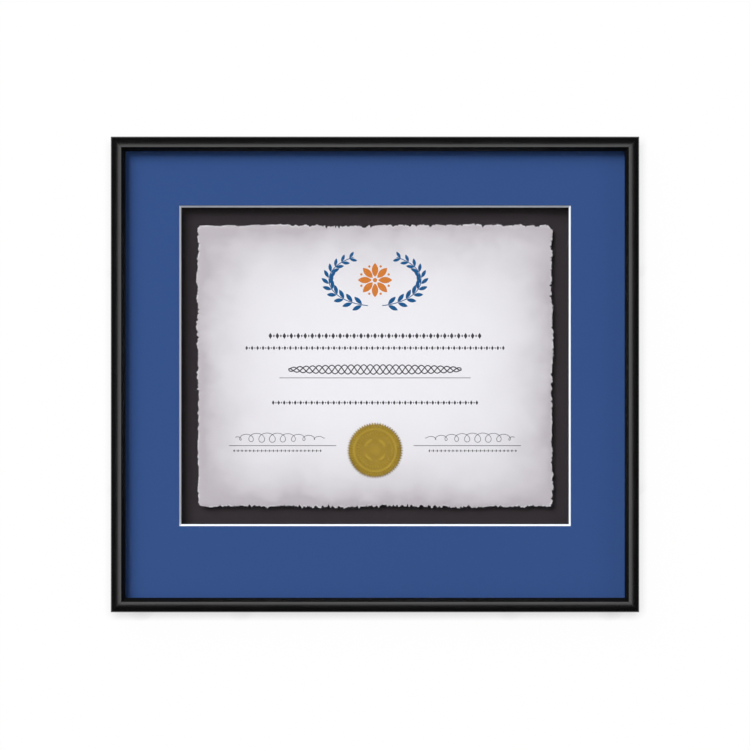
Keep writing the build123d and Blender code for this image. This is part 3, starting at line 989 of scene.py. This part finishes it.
def wreath(half_width, half_height, first, last, pairs):
    """Two branches that rise from the bottom of an ellipse: their stems, and places for leaves."""
    stem_steps, nudge, lean, taper = 48, 0.01, 0.62, 0.3
    span = last - first
    stems, leaves = [], []
    for side in (-1, 1):
        def at(angle):
            return Vector((side * half_width * math.sin(angle), -half_height * math.cos(angle)))
        stems.append([at(first + span * i / stem_steps) for i in range(stem_steps + 1)])
        for i in range(pairs):
            angle = first + span * (i + 0.5) / pairs
            along = (at(angle + nudge) - at(angle - nudge)).normalized()
            heading = math.atan2(along.x, along.y)
            for turn in (heading - lean, heading + lean):
                leaves.append((*at(angle), turn, 1.0 - taper * i / pairs))
    return stems, leaves


def build_print(settings):
    """Generic print: wreath and rosette, ornament rows, a knotted band, and looped scrolls."""
    height, finish = settings.sheet.ink_height, settings.finish
    blue = ink_material("blue_ink", finish.ink_blue)
    orange = ink_material("orange_ink", finish.ink_orange)
    dark = ink_material("dark_ink", finish.ink_dark)
    print_emblem(height, blue, orange)
    print_rows(height, dark)
    print_lines(height, dark)
    print_scrolls(height, dark)


def print_emblem(height, blue, orange):
    """Wreath of two branches round a rosette."""
    emblem_rise, stem_width = 61.5 * MM, 0.6 * MM
    petal_count, spot_ring, spot_radius = 8, 10.6 * MM, 1.0 * MM
    ring_spot_size, middle_spot_size = 0.85, 1.55
    emblem_z = SHEET_MIDDLE.z + emblem_rise
    stems, leaves = wreath(half_width=33 * MM, half_height=18.5 * MM, first=math.radians(9),
                           last=math.radians(152), pairs=11)
    leaf = flat_shape("leaf", leaf_outline(0.8 * MM, 7.6 * MM, half_width=1.5 * MM), height)
    places = [(x, SHEET_FRONT, emblem_z + z, turn, size) for x, z, turn, size in leaves]
    add_piece("print_leaves", repeated("leaves", leaf, places, blue), blue)
    lines = [ribbon("stem", stem, stem_width, height) for stem in stems]
    add_piece("print_stems", joined(lines, (0, SHEET_FRONT, emblem_z)), blue)
    petal = flat_shape("petal", leaf_outline(2.3 * MM, 10.0 * MM, half_width=2.3 * MM), height)
    petals = [(0.0, SHEET_FRONT, emblem_z, math.tau * i / petal_count, 1.0)
              for i in range(petal_count)]
    add_piece("print_petals", repeated("petals", petal, petals, orange), orange)
    spot = flat_shape("spot", circle((0.0, 0.0), spot_radius, steps=16), height)
    spots = []
    for i in range(petal_count):
        angle = math.tau * (i + 0.5) / petal_count
        spots.append((spot_ring * math.cos(angle), SHEET_FRONT,
                      emblem_z + spot_ring * math.sin(angle), 0.0, ring_spot_size))
    spots.append((0.0, SHEET_FRONT, emblem_z, 0.0, middle_spot_size))
    add_piece("print_spots", repeated("spots", spot, spots, orange), orange)


def print_rows(height, dark):
    """Rows of large and small lozenges.
    Each row has its middle, half its run, pitch, height on the sheet and size."""
    half_width, half_height, small = 1.15 * MM, 1.9 * MM, 0.5
    rows = ((0.0, 75.0, 2.5, 21.5, 1.15), (0.0, 92.0, 1.95, 12.8, 0.85),
            (0.0, 73.0, 1.95, -26.4, 0.85), (-70.0, 31.0, 1.4, -60.9, 0.55),
            (70.0, 31.0, 1.4, -60.9, 0.55))
    outline = [(half_width, 0), (0, half_height), (-half_width, 0), (0, -half_height)]
    lozenge = flat_shape("lozenge", outline, height)
    places = []
    for centre, half_run, pitch, row_z, size in rows:
        copies = 2 * round(half_run / pitch)
        for i in range(copies + 1):
            x = centre - half_run + 2 * half_run * i / copies
            places.append((x * MM, SHEET_FRONT, SHEET_MIDDLE.z + row_z * MM, 0.0,
                           size * (small if i % 2 else 1.0)))
    add_piece("print_rows", repeated("rows", lozenge, places, dark), dark)


def print_lines(height, dark):
    """Knotted band of three strands over a rule, and two short rules below.
    Each rule has its middle, half its run and its height on the sheet."""
    half_band, swing, turns, steps = 62.0 * MM, 3.4 * MM, 9, 216
    band_drop, strand_width, rule_width = 2.6 * MM, 0.75 * MM, 0.42 * MM
    strands = []
    for phase, lift in ((0.0, 1.0), (math.tau / 3, 1.6), (2 * math.tau / 3, 2.2)):
        path = []
        for i in range(steps + 1):
            run = i / steps
            reach = swing * math.sin(math.pi * run) ** 0.3
            path.append(((2 * run - 1) * half_band,
                         reach * math.sin(math.tau * turns * run + phase)))
        strands.append(ribbon("strand", path, strand_width, lift * height))
    band = joined(strands, (0, SHEET_FRONT, SHEET_MIDDLE.z - band_drop))
    add_piece("print_band", band, dark)
    rules = []
    for x, half_run, z in ((0.0, 68.5, -8.6), (-66.2, 38.5, -57.2), (66.2, 38.5, -57.2)):
        ends = [((x - half_run) * MM, z * MM), ((x + half_run) * MM, z * MM)]
        rules.append(ribbon("rule", ends, rule_width, height))
    add_piece("print_rules", joined(rules, (0, SHEET_FRONT, SHEET_MIDDLE.z)), dark)


def print_scrolls(height, dark):
    """Two pen-looped scrolls, mirrored, each over its rule."""
    half_run, swing, loops, steps = 32.0 * MM, 4.4 * MM, 8.5, 340
    scroll_x, scroll_drop, line_width = 68 * MM, 51.5 * MM, 0.36 * MM
    loop_width, taper, lift = 1.15, 0.55, 1.4
    scrolls = []
    for side in (-1, 1):
        path = []
        for i in range(steps + 1):
            run = i / steps
            reach = swing * math.sin(math.pi * run) ** 0.5 * (1.0 - taper * run)
            turn = math.tau * loops * run
            x = scroll_x - (2 * run - 1) * half_run - loop_width * reach * math.sin(turn)
            path.append((side * x, reach * math.cos(turn)))
        scrolls.append(ribbon("scroll", path, line_width, lift * height))
    add_piece("print_scrolls", joined(scrolls, (0, SHEET_FRONT, SHEET_MIDDLE.z - scroll_drop)),
              dark)


# Seal
def hump(share_out, centre, half_width):
    """Rounded ridge of height 1 about a share of the seal's radius."""
    return max(0.0, 1.0 - ((share_out - centre) / half_width) ** 2)


def seal_height(share_out, angle, sizes):
    """Relief of the seal from 0 to 1 at a share of its radius.
    From the edge in: fluted rim, plain ring, ring of beads, four arcs and a dome."""
    rim_start, ring_start, beads_start = 0.86, 0.74, 0.52
    ring_centre, ring_half, ring_fall, edge_run = 0.80, 0.06, 0.55, 0.06
    bead_count, arc_count, field = 40, 4, 0.22
    if share_out > rim_start:
        flutes = 0.5 + 0.5 * math.cos(sizes.seal_teeth * angle)
        return (0.16 + 0.54 * flutes) * min(1.0, (1.0 - share_out) / edge_run)
    if share_out > ring_start:
        return 1.0 - ((share_out - ring_centre) / ring_half) ** 2 * ring_fall
    if share_out > beads_start:
        beads = 0.5 + 0.5 * math.cos(bead_count * angle)
        return field + 0.6 * hump(share_out, 0.64, 0.055) * beads
    arcs = max(0.0, min(1.0, 0.55 - 0.8 * math.cos(arc_count * angle)))
    dome = hump(share_out, 0.0, 0.22)
    return field + 0.78 * hump(share_out, 0.4, 0.075) * arcs + 0.3 * dome


def build_seal(settings):
    """Embossed foil seal with a serrated rim."""
    sizes = settings.sheet
    tooth_steps, ring_count, rim_hold = 10, 44, 8
    steps = sizes.seal_teeth * tooth_steps
    centre = (SEAL_LOW + SEAL_HIGH) / 2
    nominal = (SEAL_HIGH.x - SEAL_LOW.x) / 2
    floor_y = SEAL_LOW.y + sizes.seal_relief
    shape = bmesh.new()
    relief = shape.verts.layers.float.new("relief")
    rings = []
    for j in range(ring_count):
        share_out = 1.0 - j / ring_count
        ring = []
        for i in range(steps):
            angle = math.tau * i / steps
            valley = 1.0 - abs(2.0 * (i % tooth_steps) / tooth_steps - 1.0)
            tooth = sizes.seal_tooth_reach - sizes.seal_tooth_depth * valley
            radius = share_out * nominal + tooth * share_out ** rim_hold
            height = seal_height(share_out, angle, sizes)
            corner = shape.verts.new((centre.x + radius * math.cos(angle),
                                      floor_y - sizes.seal_relief * height,
                                      centre.z + radius * math.sin(angle)))
            corner[relief] = height
            ring.append(corner)
        rings.append(ring)
    back = [shape.verts.new((corner.co.x, SEAL_HIGH.y, corner.co.z)) for corner in rings[0]]
    skinned(shape, [back, *rings])
    mesh = to_mesh(shape, "seal")
    smooth(mesh, degrees=50.0)
    add_piece("foil_seal", mesh, gold_material(settings.finish), nodes=["gold_seal"])


# Back of the frame
def build_backing(settings):
    """Hardboard back panel."""
    dress_node("backing_panel", hardboard_material(settings.finish))


def button_outline(sizes):
    """Round pivot end and round nose joined by straight tangents, nose along +Z."""
    pivot_radius, nose_radius = sizes.button_pivot_radius, sizes.button_nose_radius
    lean = math.acos((pivot_radius - nose_radius) / sizes.button_reach)
    up = math.pi / 2
    nose = arc((0.0, sizes.button_reach), nose_radius, up - lean, up + lean, steps=20)
    pivot = arc((0.0, 0.0), pivot_radius, up + lean, up + math.tau - lean, steps=24)
    return nose + pivot


def build_turn_buttons(settings):
    """Stamped turn buttons, each on its own body, with a hole for the screw and a lifted nose."""
    sizes = settings.fixings
    bend_lines, lift_curve, flat_lines = 6, 1.3, (0.25, 0.6)
    material = metal_material("button_zinc", settings.finish.zinc, smoothest=0.28, roughest=0.42)
    nose_end = sizes.button_reach + sizes.button_nose_radius
    bend = nose_end - sizes.button_lift_run

    def rise(x, z):
        run = max(0.0, (z - bend) / sizes.button_lift_run)
        return sizes.button_lift * run ** lift_curve

    cuts = [("z", bend + sizes.button_lift_run * i / bend_lines) for i in range(bend_lines)]
    cuts += [("z", sizes.button_reach * line) for line in flat_lines]
    hole = circle((0.0, 0.0), sizes.button_hole_radius, steps=28)
    for name in BUTTONS:
        part = "turn_button_" + name
        low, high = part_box(part)
        if high.z - low.z > high.x - low.x:
            turn = 0.0 if middle(part).z < MIDDLE_Z else math.pi
        else:
            turn = math.copysign(math.pi / 2, -middle(part).x)
        nose = Vector((math.sin(turn), 0.0, math.cos(turn)))
        pivot = middle(part) - nose * (nose_end - sizes.button_pivot_radius) / 2
        mesh = stamped(part, button_outline(sizes), [hole], cuts, rise, sizes.button_thickness,
                       sizes.metal_ease)
        mesh.transform(Matrix.Translation((pivot.x, low.y, pivot.z))
                       @ Matrix.Rotation(turn, 4, "Y"))
        mesh = crisp(mesh, degrees=40.0)
        add_piece("button_" + name, mesh, material, part, [part])


def screw_mesh(sizes):
    """Pan-head screw with a cross recess: underside of the head at y = 0, head toward +Y."""
    rim_share, wall_share, pit_share, point_share = 0.65, 0.35, 0.55, 0.45
    shape = bmesh.new()
    radius, height = sizes.screw_head_radius, sizes.screw_head_height
    shank, tip = sizes.screw_radius, -sizes.screw_length
    rim = rim_share * radius
    profile = [(0.0, tip), (shank * point_share, tip + shank), (shank, tip + 3 * shank),
               (shank, 0.0), (radius, 0.0)]
    for angle in quarter_turn(steps=6):
        profile.append((radius - (radius - rim) * (1 - math.cos(angle)),
                        height * (wall_share + (1 - wall_share) * math.sin(angle))))
    top = turned(shape, profile, steps=40, top=False)
    arm, half = sizes.recess_arm, sizes.recess_width / 2
    cross = [(half, arm), (half, half), (arm, half),
             (arm, -half), (half, -half), (half, -arm),
             (-half, -arm), (-half, -half), (-arm, -half),
             (-arm, half), (-half, half), (-half, arm)]
    floor_y = height - sizes.recess_depth
    mouth = [shape.verts.new((x, height, z)) for x, z in cross]
    pit = [shape.verts.new((x * pit_share, floor_y, z * pit_share)) for x, z in cross]
    edges = [shape.edges.get((top[i - 1], top[i])) for i in range(len(top))]
    edges += [shape.edges.new((mouth[i - 1], mouth[i])) for i in range(len(mouth))]
    bmesh.ops.triangle_fill(shape, edges=edges, use_beauty=True, normal=(0, 1, 0))
    for i in range(len(mouth)):
        shape.faces.new((mouth[i - 1], mouth[i], pit[i], pit[i - 1]))
    shape.faces.new(pit)
    return to_mesh(shape, "screw")


def build_screws(settings):
    """Pan-head screws, one through each turn button, each driven home at its own turn."""
    sizes = settings.fixings
    material = metal_material("screw_zinc", settings.finish.screw_zinc, smoothest=0.24,
                              roughest=0.36)
    under_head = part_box("turn_button_screws")[1].y - sizes.screw_head_height
    places = [(x, under_head, z, 0.0, 1.0) for x, z in pivots()]
    mesh = repeated("screws", screw_mesh(sizes), places, material, loose_turn=0.7, seed=4)
    smooth(mesh, degrees=40.0)
    add_piece("pan_head_screws", mesh, material, nodes=["turn_button_screws"])


def pivots():
    """Where each turn button's screw stands, from the button's box."""
    spots = []
    for name in BUTTONS:
        low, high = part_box("turn_button_" + name)
        half = min(high.x - low.x, high.z - low.z) / 2
        if high.z - low.z > high.x - low.x:
            z = low.z + half if (low.z + high.z) / 2 < MIDDLE_Z else high.z - half
            spots.append(((low.x + high.x) / 2, z))
        else:
            x = low.x + half if low.x < 0 else high.x - half
            spots.append((x, (low.z + high.z) / 2))
    return spots


def hanger_outline(sizes, low, high):
    """Strip with rounded corners and a row of notches along its lower edge."""
    corner_radius = 1.0 * MM
    first = -(sizes.tooth_count - 1) / 2 * sizes.tooth_pitch
    outline = []
    for i in range(sizes.tooth_count):
        x = first + i * sizes.tooth_pitch
        outline += [(x - sizes.tooth_pitch / 2, low.z), (x, low.z + sizes.tooth_depth)]
    outline.append((-first + sizes.tooth_pitch / 2, low.z))
    route = [(0.0, low.z), (high.x, low.z), (high.x, high.z), (-high.x, high.z), (-high.x, low.z),
             (0.0, low.z)]
    for before, corner, after in zip(route, route[1:], route[2:]):
        outline += rounded(before, corner, after, corner_radius, steps=5)
    return outline


def nail_mesh(sizes):
    """Small nail with a domed head: underside of the head at y = 0, head toward +Y."""
    point_run = 1.6 * MM
    shank, tip = sizes.nail_radius, -sizes.nail_length
    radius, height = sizes.nail_head_radius, sizes.nail_head_height
    profile = [(0.0, tip), (shank, tip + point_run), (shank, 0.0), (radius, 0.0),
               (radius, 0.4 * height), (0.93 * radius, 0.75 * height),
               (0.75 * radius, 0.95 * height), (0.0, height)]
    shape = bmesh.new()
    turned(shape, profile, steps=28)
    return to_mesh(shape, "nail")


def build_hanger(settings):
    """Bent sawtooth hanger and its two nails."""
    sizes = settings.fixings
    joggle_lines, nail_clearance = 8, 0.05 * MM
    low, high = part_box("sawtooth_hanger")
    tab = high.x - sizes.hanger_tab
    flat = tab - sizes.hanger_joggle
    nail_x = high.x - sizes.hanger_tab / 2
    nail_z = middle("hanger_nails").z

    def rise(x, z):
        run = max(0.0, min(1.0, (tab - abs(x)) / sizes.hanger_joggle))
        return sizes.hanger_gap * run * run * (3 - 2 * run)

    cuts = [("x", side * (flat + sizes.hanger_joggle * i / joggle_lines))
            for side in (-1, 1) for i in range(joggle_lines + 1)]
    holes = [circle((side * nail_x, nail_z), sizes.nail_radius + nail_clearance, steps=20)
             for side in (-1, 1)]
    mesh = stamped("hanger", hanger_outline(sizes, low, high), holes, cuts, rise,
                   sizes.hanger_sheet, sizes.metal_ease)
    mesh.transform(Matrix.Translation((0, low.y, 0)))
    steel = metal_material("hanger_zinc", settings.finish.zinc, smoothest=0.3, roughest=0.45)
    add_piece("toothed_hanger", crisp(mesh, degrees=40.0), steel,
              nodes=["sawtooth_hanger"])
    nail_steel = metal_material("nail_zinc", settings.finish.zinc, smoothest=0.25, roughest=0.4)
    places = [(side * nail_x, RAIL_BACK + sizes.hanger_sheet, nail_z, 0.0, 1.0)
              for side in (-1, 1)]
    nails = repeated("nails", nail_mesh(sizes), places, nail_steel)
    smooth(nails, degrees=40.0)
    add_piece("nails_of_hanger", nails, nail_steel, nodes=["hanger_nails"])


def build_corner_nails(settings):
    """V-shaped nails across the mitres, seen in their slots."""
    dress_node("corner_v_nails", metal_material("v_nail_steel", settings.finish.zinc,
                                                smoothest=0.3, roughest=0.5))


def build_bumpers(settings):
    """Domed rubber bumpers on the lower rail."""
    foot_share, draft_share, waist_share, ease_share = 0.12, 0.2, 0.96, 0.45
    low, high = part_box("wall_bumpers")
    radius, height = (high.z - low.z) / 2, high.y - low.y
    waist, ease = waist_share * radius, ease_share * height
    profile = [(0.0, 0.0), (radius, 0.0), (radius, foot_share * height),
               (waist, draft_share * height)]
    for angle in quarter_turn(steps=8):
        profile.append((waist - ease * (1 - math.cos(angle)),
                        height - ease + ease * math.sin(angle)))
    profile.append((0.0, height))
    shape = bmesh.new()
    turned(shape, profile, steps=40)
    z = (low.z + high.z) / 2
    places = [(x, low.y, z, 0.0, 1.0) for x in (low.x + radius, high.x - radius)]
    material = rubber_material(settings.finish)
    mesh = repeated("bumpers", to_mesh(shape, "bumper"), places, material)
    smooth(mesh, degrees=50.0)
    add_piece("rubber_bumpers", mesh, material, nodes=["wall_bumpers"])


# Stage
def plane_object(name, corners, material):
    """One-face object of the stage."""
    mesh = bpy.data.meshes.new(name)
    mesh.from_pydata(corners, [], [tuple(range(len(corners)))])
    mesh.materials.append(material)
    made = bpy.data.objects.new(name, mesh)
    bpy.context.scene.collection.objects.link(made)
    return made


def seen_rays(tree):
    """1 for the rays that show the background: camera, glossy and transmission rays."""
    path = node(tree, "ShaderNodeLightPath").outputs
    both = maths(tree, "MAXIMUM", path["Is Camera Ray"], path["Is Glossy Ray"])
    return maths(tree, "MAXIMUM", both, path["Is Transmission Ray"])


def wall_material(tint):
    """Pale wall that keeps a faint shadow, closest below and to the right of the frame.
    It is clear from behind."""
    shadow_reach, glow_share = 8.5 * MM, 0.985
    material, tree = new_material("stage_wall")
    grain = cloud(tree, place(tree), 4 * MM)
    tone = blended(tree, grain, rgba(tint, 0.99), rgba(tint))
    paint = node(tree, "ShaderNodeBsdfDiffuse", {"Color": tone})
    toward_light = node(tree, "ShaderNodeCombineXYZ", {0: -0.25, 1: -0.52, 2: 0.82})
    nearby = node(tree, "ShaderNodeAmbientOcclusion",
                  {"Distance": shadow_reach, "Normal": toward_light.outputs[0]}, samples=8)
    level = ranged(tree, nearby.outputs["AO"], 0.3, 1.0, 0.5, 1.0)
    glow = node(tree, "ShaderNodeEmission", {"Color": rgba(WHITE), "Strength": level})
    share_seen = maths(tree, "MULTIPLY", seen_rays(tree), glow_share)
    lit = node(tree, "ShaderNodeMixShader",
               {0: share_seen, 1: paint.outputs[0], 2: glow.outputs[0]})
    clear = node(tree, "ShaderNodeBsdfTransparent")
    behind = node(tree, "ShaderNodeNewGeometry").outputs["Backfacing"]
    mixed = node(tree, "ShaderNodeMixShader", {0: behind, 1: lit.outputs[0], 2: clear.outputs[0]})
    node(tree, "ShaderNodeOutputMaterial", {"Surface": mixed.outputs[0]})
    return material


def floor_material(tint):
    """Plain pale floor that throws little light back up."""
    unseen_share = 0.12
    material, tree = new_material("stage_floor")
    grain = cloud(tree, place(tree), 10 * MM)
    level = ranged(tree, seen_rays(tree), 0.0, 1.0, unseen_share, 1.0)
    tone = blended(tree, grain, rgba(tint, 0.97), rgba(tint))
    finish_surface(tree, {"Base Color": blended(tree, level, rgba(BLACK), tone), "Roughness": 0.8})
    return material


def card_material():
    """Black card for the sides of the studio."""
    card_black = (0.004, 0.004, 0.004)
    material, tree = new_material("stage_black_card")
    shader = node(tree, "ShaderNodeBsdfDiffuse", {"Color": rgba(card_black)})
    node(tree, "ShaderNodeOutputMaterial", {"Surface": shader.outputs[0]})
    return material


def lamp(name, offset, energy, width, height):
    """Soft rectangular light at an offset from the middle of the frame, aimed at it."""
    data = bpy.data.lights.new(name, "AREA")
    data.shape = "RECTANGLE"
    data.size, data.size_y = width, height
    data.energy = energy
    at = FRAME_MIDDLE + Vector(offset)
    light = bpy.data.objects.new(name, data)
    light.location = at
    light.rotation_euler = (FRAME_MIDDLE - at).to_track_quat("-Z", "Y").to_euler()
    light.visible_camera = False
    bpy.context.scene.collection.objects.link(light)
    return light


def build_backdrop(stage):
    """Wall just behind the bumpers, and a floor well below the frame."""
    wide, wall_y, floor_drop = 4.0, 0.4 * MM, 1.5
    floor_z = MIDDLE_Z - floor_drop
    wall = plane_object("stage_wall", [(-wide, wall_y, floor_z), (wide, wall_y, floor_z),
                                       (wide, wall_y, wide), (-wide, wall_y, wide)],
                        wall_material(stage.backdrop))
    wall.visible_shadow = False
    plane_object("stage_floor", [(-wide, -wide, floor_z), (wide, -wide, floor_z),
                                 (wide, wide, floor_z), (-wide, wide, floor_z)],
                 floor_material(stage.backdrop))


def build_lights(stage):
    """Wide front light, key at the upper left, low fill at the right, and two behind the wall."""
    lamp("front_light", (0.0, -2.0, 0.0), stage.front_power, width=1.45, height=1.15)
    key = lamp("key_light", (-4.24, -4.8, 4.8), stage.key_power, width=5.2, height=5.2)
    fill = lamp("fill_light", (5.4, -2.4, 0.9), stage.fill_power, width=2.0, height=2.0)
    for light in (key, fill):
        light.visible_glossy = False
    for side in (-1, 1):
        lamp("rear_light", (side * 1.6, 2.2, 1.0), stage.rear_power, width=1.4, height=1.4)


def build_sky(stage):
    """Even sky: bright where it is seen, faint as a light."""
    seen_level = 0.85
    world = bpy.data.worlds.new("studio")
    world.use_nodes = True
    tree = world.node_tree
    tree.nodes.clear()
    level = ranged(tree, seen_rays(tree), 0.0, 1.0, stage.ambient, seen_level)
    sky = node(tree, "ShaderNodeBackground", {"Color": rgba(WHITE), "Strength": level})
    node(tree, "ShaderNodeOutputWorld", {"Surface": sky.outputs[0]})
    bpy.context.scene.world = world


def build_cards():
    """Black cards round the front light, which only reflections see.
    Each runs forward from one edge of an opening round the frame."""
    near, far, half_width, half_height = -2 * MM, -2.03, 0.8, 0.64
    material = card_material()
    for name, start, end in (("left", (-1, -1), (-1, 1)), ("right", (1, -1), (1, 1)),
                             ("top", (-1, 1), (1, 1)), ("bottom", (-1, -1), (1, -1))):
        corners = []
        for (side, level), y in ((start, near), (start, far), (end, far), (end, near)):
            corners.append((side * half_width, y, level * half_height + MIDDLE_Z))
        card = plane_object("stage_card_" + name, corners, material)
        card.visible_camera = False
        card.visible_diffuse = False
        card.visible_shadow = False
        card.visible_transmission = False


def build_camera(stage):
    """Camera square to the frame."""
    camera = bpy.data.cameras.new("camera")
    camera.sensor_width = 36.0
    camera.lens = camera.sensor_width * stage.camera_distance / stage.field_width
    camera.clip_end = 50.0
    viewer = bpy.data.objects.new("camera", camera)
    viewer.location = (0.0, CREST - stage.camera_distance, MIDDLE_Z - stage.camera_drop)
    viewer.rotation_euler = (math.pi / 2, 0.0, 0.0)
    bpy.context.scene.collection.objects.link(viewer)
    bpy.context.scene.camera = viewer


def build_stage(settings):
    """Pale wall and floor, soft light, and a camera square to the frame."""
    build_backdrop(settings.stage)
    build_lights(settings.stage)
    build_sky(settings.stage)
    build_cards()
    build_camera(settings.stage)
    bpy.context.scene.view_settings.view_transform = "Standard"


# Operators
class CERTFRAME_OT_rails(bpy.types.Operator):
    """Sweep the four mitred rails"""
    bl_idname = "certframe.rails"
    bl_label = "Rails"

    def execute(self, context):
        build_rails(context.scene.certificate_frame)
        return {"FINISHED"}


class CERTFRAME_OT_glazing(bpy.types.Operator):
    """Give the pane its glass"""
    bl_idname = "certframe.glazing"
    bl_label = "Glazing"

    def execute(self, context):
        build_glazing()
        return {"FINISHED"}


class CERTFRAME_OT_mat(bpy.types.Operator):
    """Finish the mat and its cut bevel"""
    bl_idname = "certframe.mat"
    bl_label = "Mat"

    def execute(self, context):
        build_mat(context.scene.certificate_frame)
        return {"FINISHED"}


class CERTFRAME_OT_boards(bpy.types.Operator):
    """Finish the mount board, spacers and riser"""
    bl_idname = "certframe.boards"
    bl_label = "Boards"

    def execute(self, context):
        build_boards(context.scene.certificate_frame)
        return {"FINISHED"}


class CERTFRAME_OT_certificate(bpy.types.Operator):
    """Make the sheet with its torn edge"""
    bl_idname = "certframe.certificate"
    bl_label = "Certificate"

    def execute(self, context):
        build_certificate(context.scene.certificate_frame)
        return {"FINISHED"}


class CERTFRAME_OT_print(bpy.types.Operator):
    """Print the wreath, ornament rows and rules"""
    bl_idname = "certframe.print"
    bl_label = "Print"

    def execute(self, context):
        build_print(context.scene.certificate_frame)
        return {"FINISHED"}


class CERTFRAME_OT_seal(bpy.types.Operator):
    """Emboss the gold seal"""
    bl_idname = "certframe.seal"
    bl_label = "Seal"

    def execute(self, context):
        build_seal(context.scene.certificate_frame)
        return {"FINISHED"}


class CERTFRAME_OT_backing(bpy.types.Operator):
    """Finish the hardboard back"""
    bl_idname = "certframe.backing"
    bl_label = "Backing"

    def execute(self, context):
        build_backing(context.scene.certificate_frame)
        return {"FINISHED"}


class CERTFRAME_OT_turn_buttons(bpy.types.Operator):
    """Stamp the turn buttons"""
    bl_idname = "certframe.turn_buttons"
    bl_label = "Turn buttons"

    def execute(self, context):
        build_turn_buttons(context.scene.certificate_frame)
        return {"FINISHED"}


class CERTFRAME_OT_screws(bpy.types.Operator):
    """Put a screw through each turn button"""
    bl_idname = "certframe.screws"
    bl_label = "Screws"

    def execute(self, context):
        build_screws(context.scene.certificate_frame)
        return {"FINISHED"}


class CERTFRAME_OT_hanger(bpy.types.Operator):
    """Bend the sawtooth hanger and nail it on"""
    bl_idname = "certframe.hanger"
    bl_label = "Hanger"

    def execute(self, context):
        build_hanger(context.scene.certificate_frame)
        return {"FINISHED"}


class CERTFRAME_OT_corner_nails(bpy.types.Operator):
    """Finish the corner nails"""
    bl_idname = "certframe.corner_nails"
    bl_label = "Corner nails"

    def execute(self, context):
        build_corner_nails(context.scene.certificate_frame)
        return {"FINISHED"}


class CERTFRAME_OT_bumpers(bpy.types.Operator):
    """Mould the wall bumpers"""
    bl_idname = "certframe.bumpers"
    bl_label = "Bumpers"

    def execute(self, context):
        build_bumpers(context.scene.certificate_frame)
        return {"FINISHED"}


class CERTFRAME_OT_stage(bpy.types.Operator):
    """Set up the wall, floor, light and camera"""
    bl_idname = "certframe.stage"
    bl_label = "Stage"

    def execute(self, context):
        build_stage(context.scene.certificate_frame)
        return {"FINISHED"}


OPERATORS = (CERTFRAME_OT_rails, CERTFRAME_OT_glazing, CERTFRAME_OT_mat, CERTFRAME_OT_boards,
             CERTFRAME_OT_certificate, CERTFRAME_OT_print, CERTFRAME_OT_seal, CERTFRAME_OT_backing,
             CERTFRAME_OT_turn_buttons, CERTFRAME_OT_screws, CERTFRAME_OT_hanger,
             CERTFRAME_OT_corner_nails, CERTFRAME_OT_bumpers, CERTFRAME_OT_stage)


class CERTFRAME_PT_panel(bpy.types.Panel):
    """Pieces of the certificate frame"""
    bl_idname = "CERTFRAME_PT_panel"
    bl_label = "Certificate frame"
    bl_space_type = "VIEW_3D"
    bl_region_type = "UI"
    bl_category = "Certificate frame"

    def draw(self, context):
        settings = context.scene.certificate_frame
        for operator in OPERATORS:
            self.layout.operator(operator.bl_idname)
        for sizes in (settings.moulding, settings.sheet, settings.fixings, settings.finish,
                      settings.stage):
            box = self.layout.box()
            for key in sizes.__annotations__:
                box.prop(sizes, key)


CLASSES = (MouldingSizes, SheetSizes, FixingSizes, Finishes, StageSettings, CertificateFrame,
           *OPERATORS, CERTFRAME_PT_panel)


def register():
    """Add the classes and the settings."""
    for item in CLASSES:
        bpy.utils.register_class(item)
    bpy.types.Scene.certificate_frame = group(CertificateFrame, "Certificate frame",
                                              "Settings of the certificate frame")


def unregister():
    """Take the settings and the classes away."""
    del bpy.types.Scene.certificate_frame
    for item in reversed(CLASSES):
        bpy.utils.unregister_class(item)


def main():
    """Build every piece and the stage."""
    register()
    for operator in OPERATORS:
        family, name = operator.bl_idname.split(".")
        getattr(getattr(bpy.ops, family), name)()


if __name__ == "__main__":
    main()
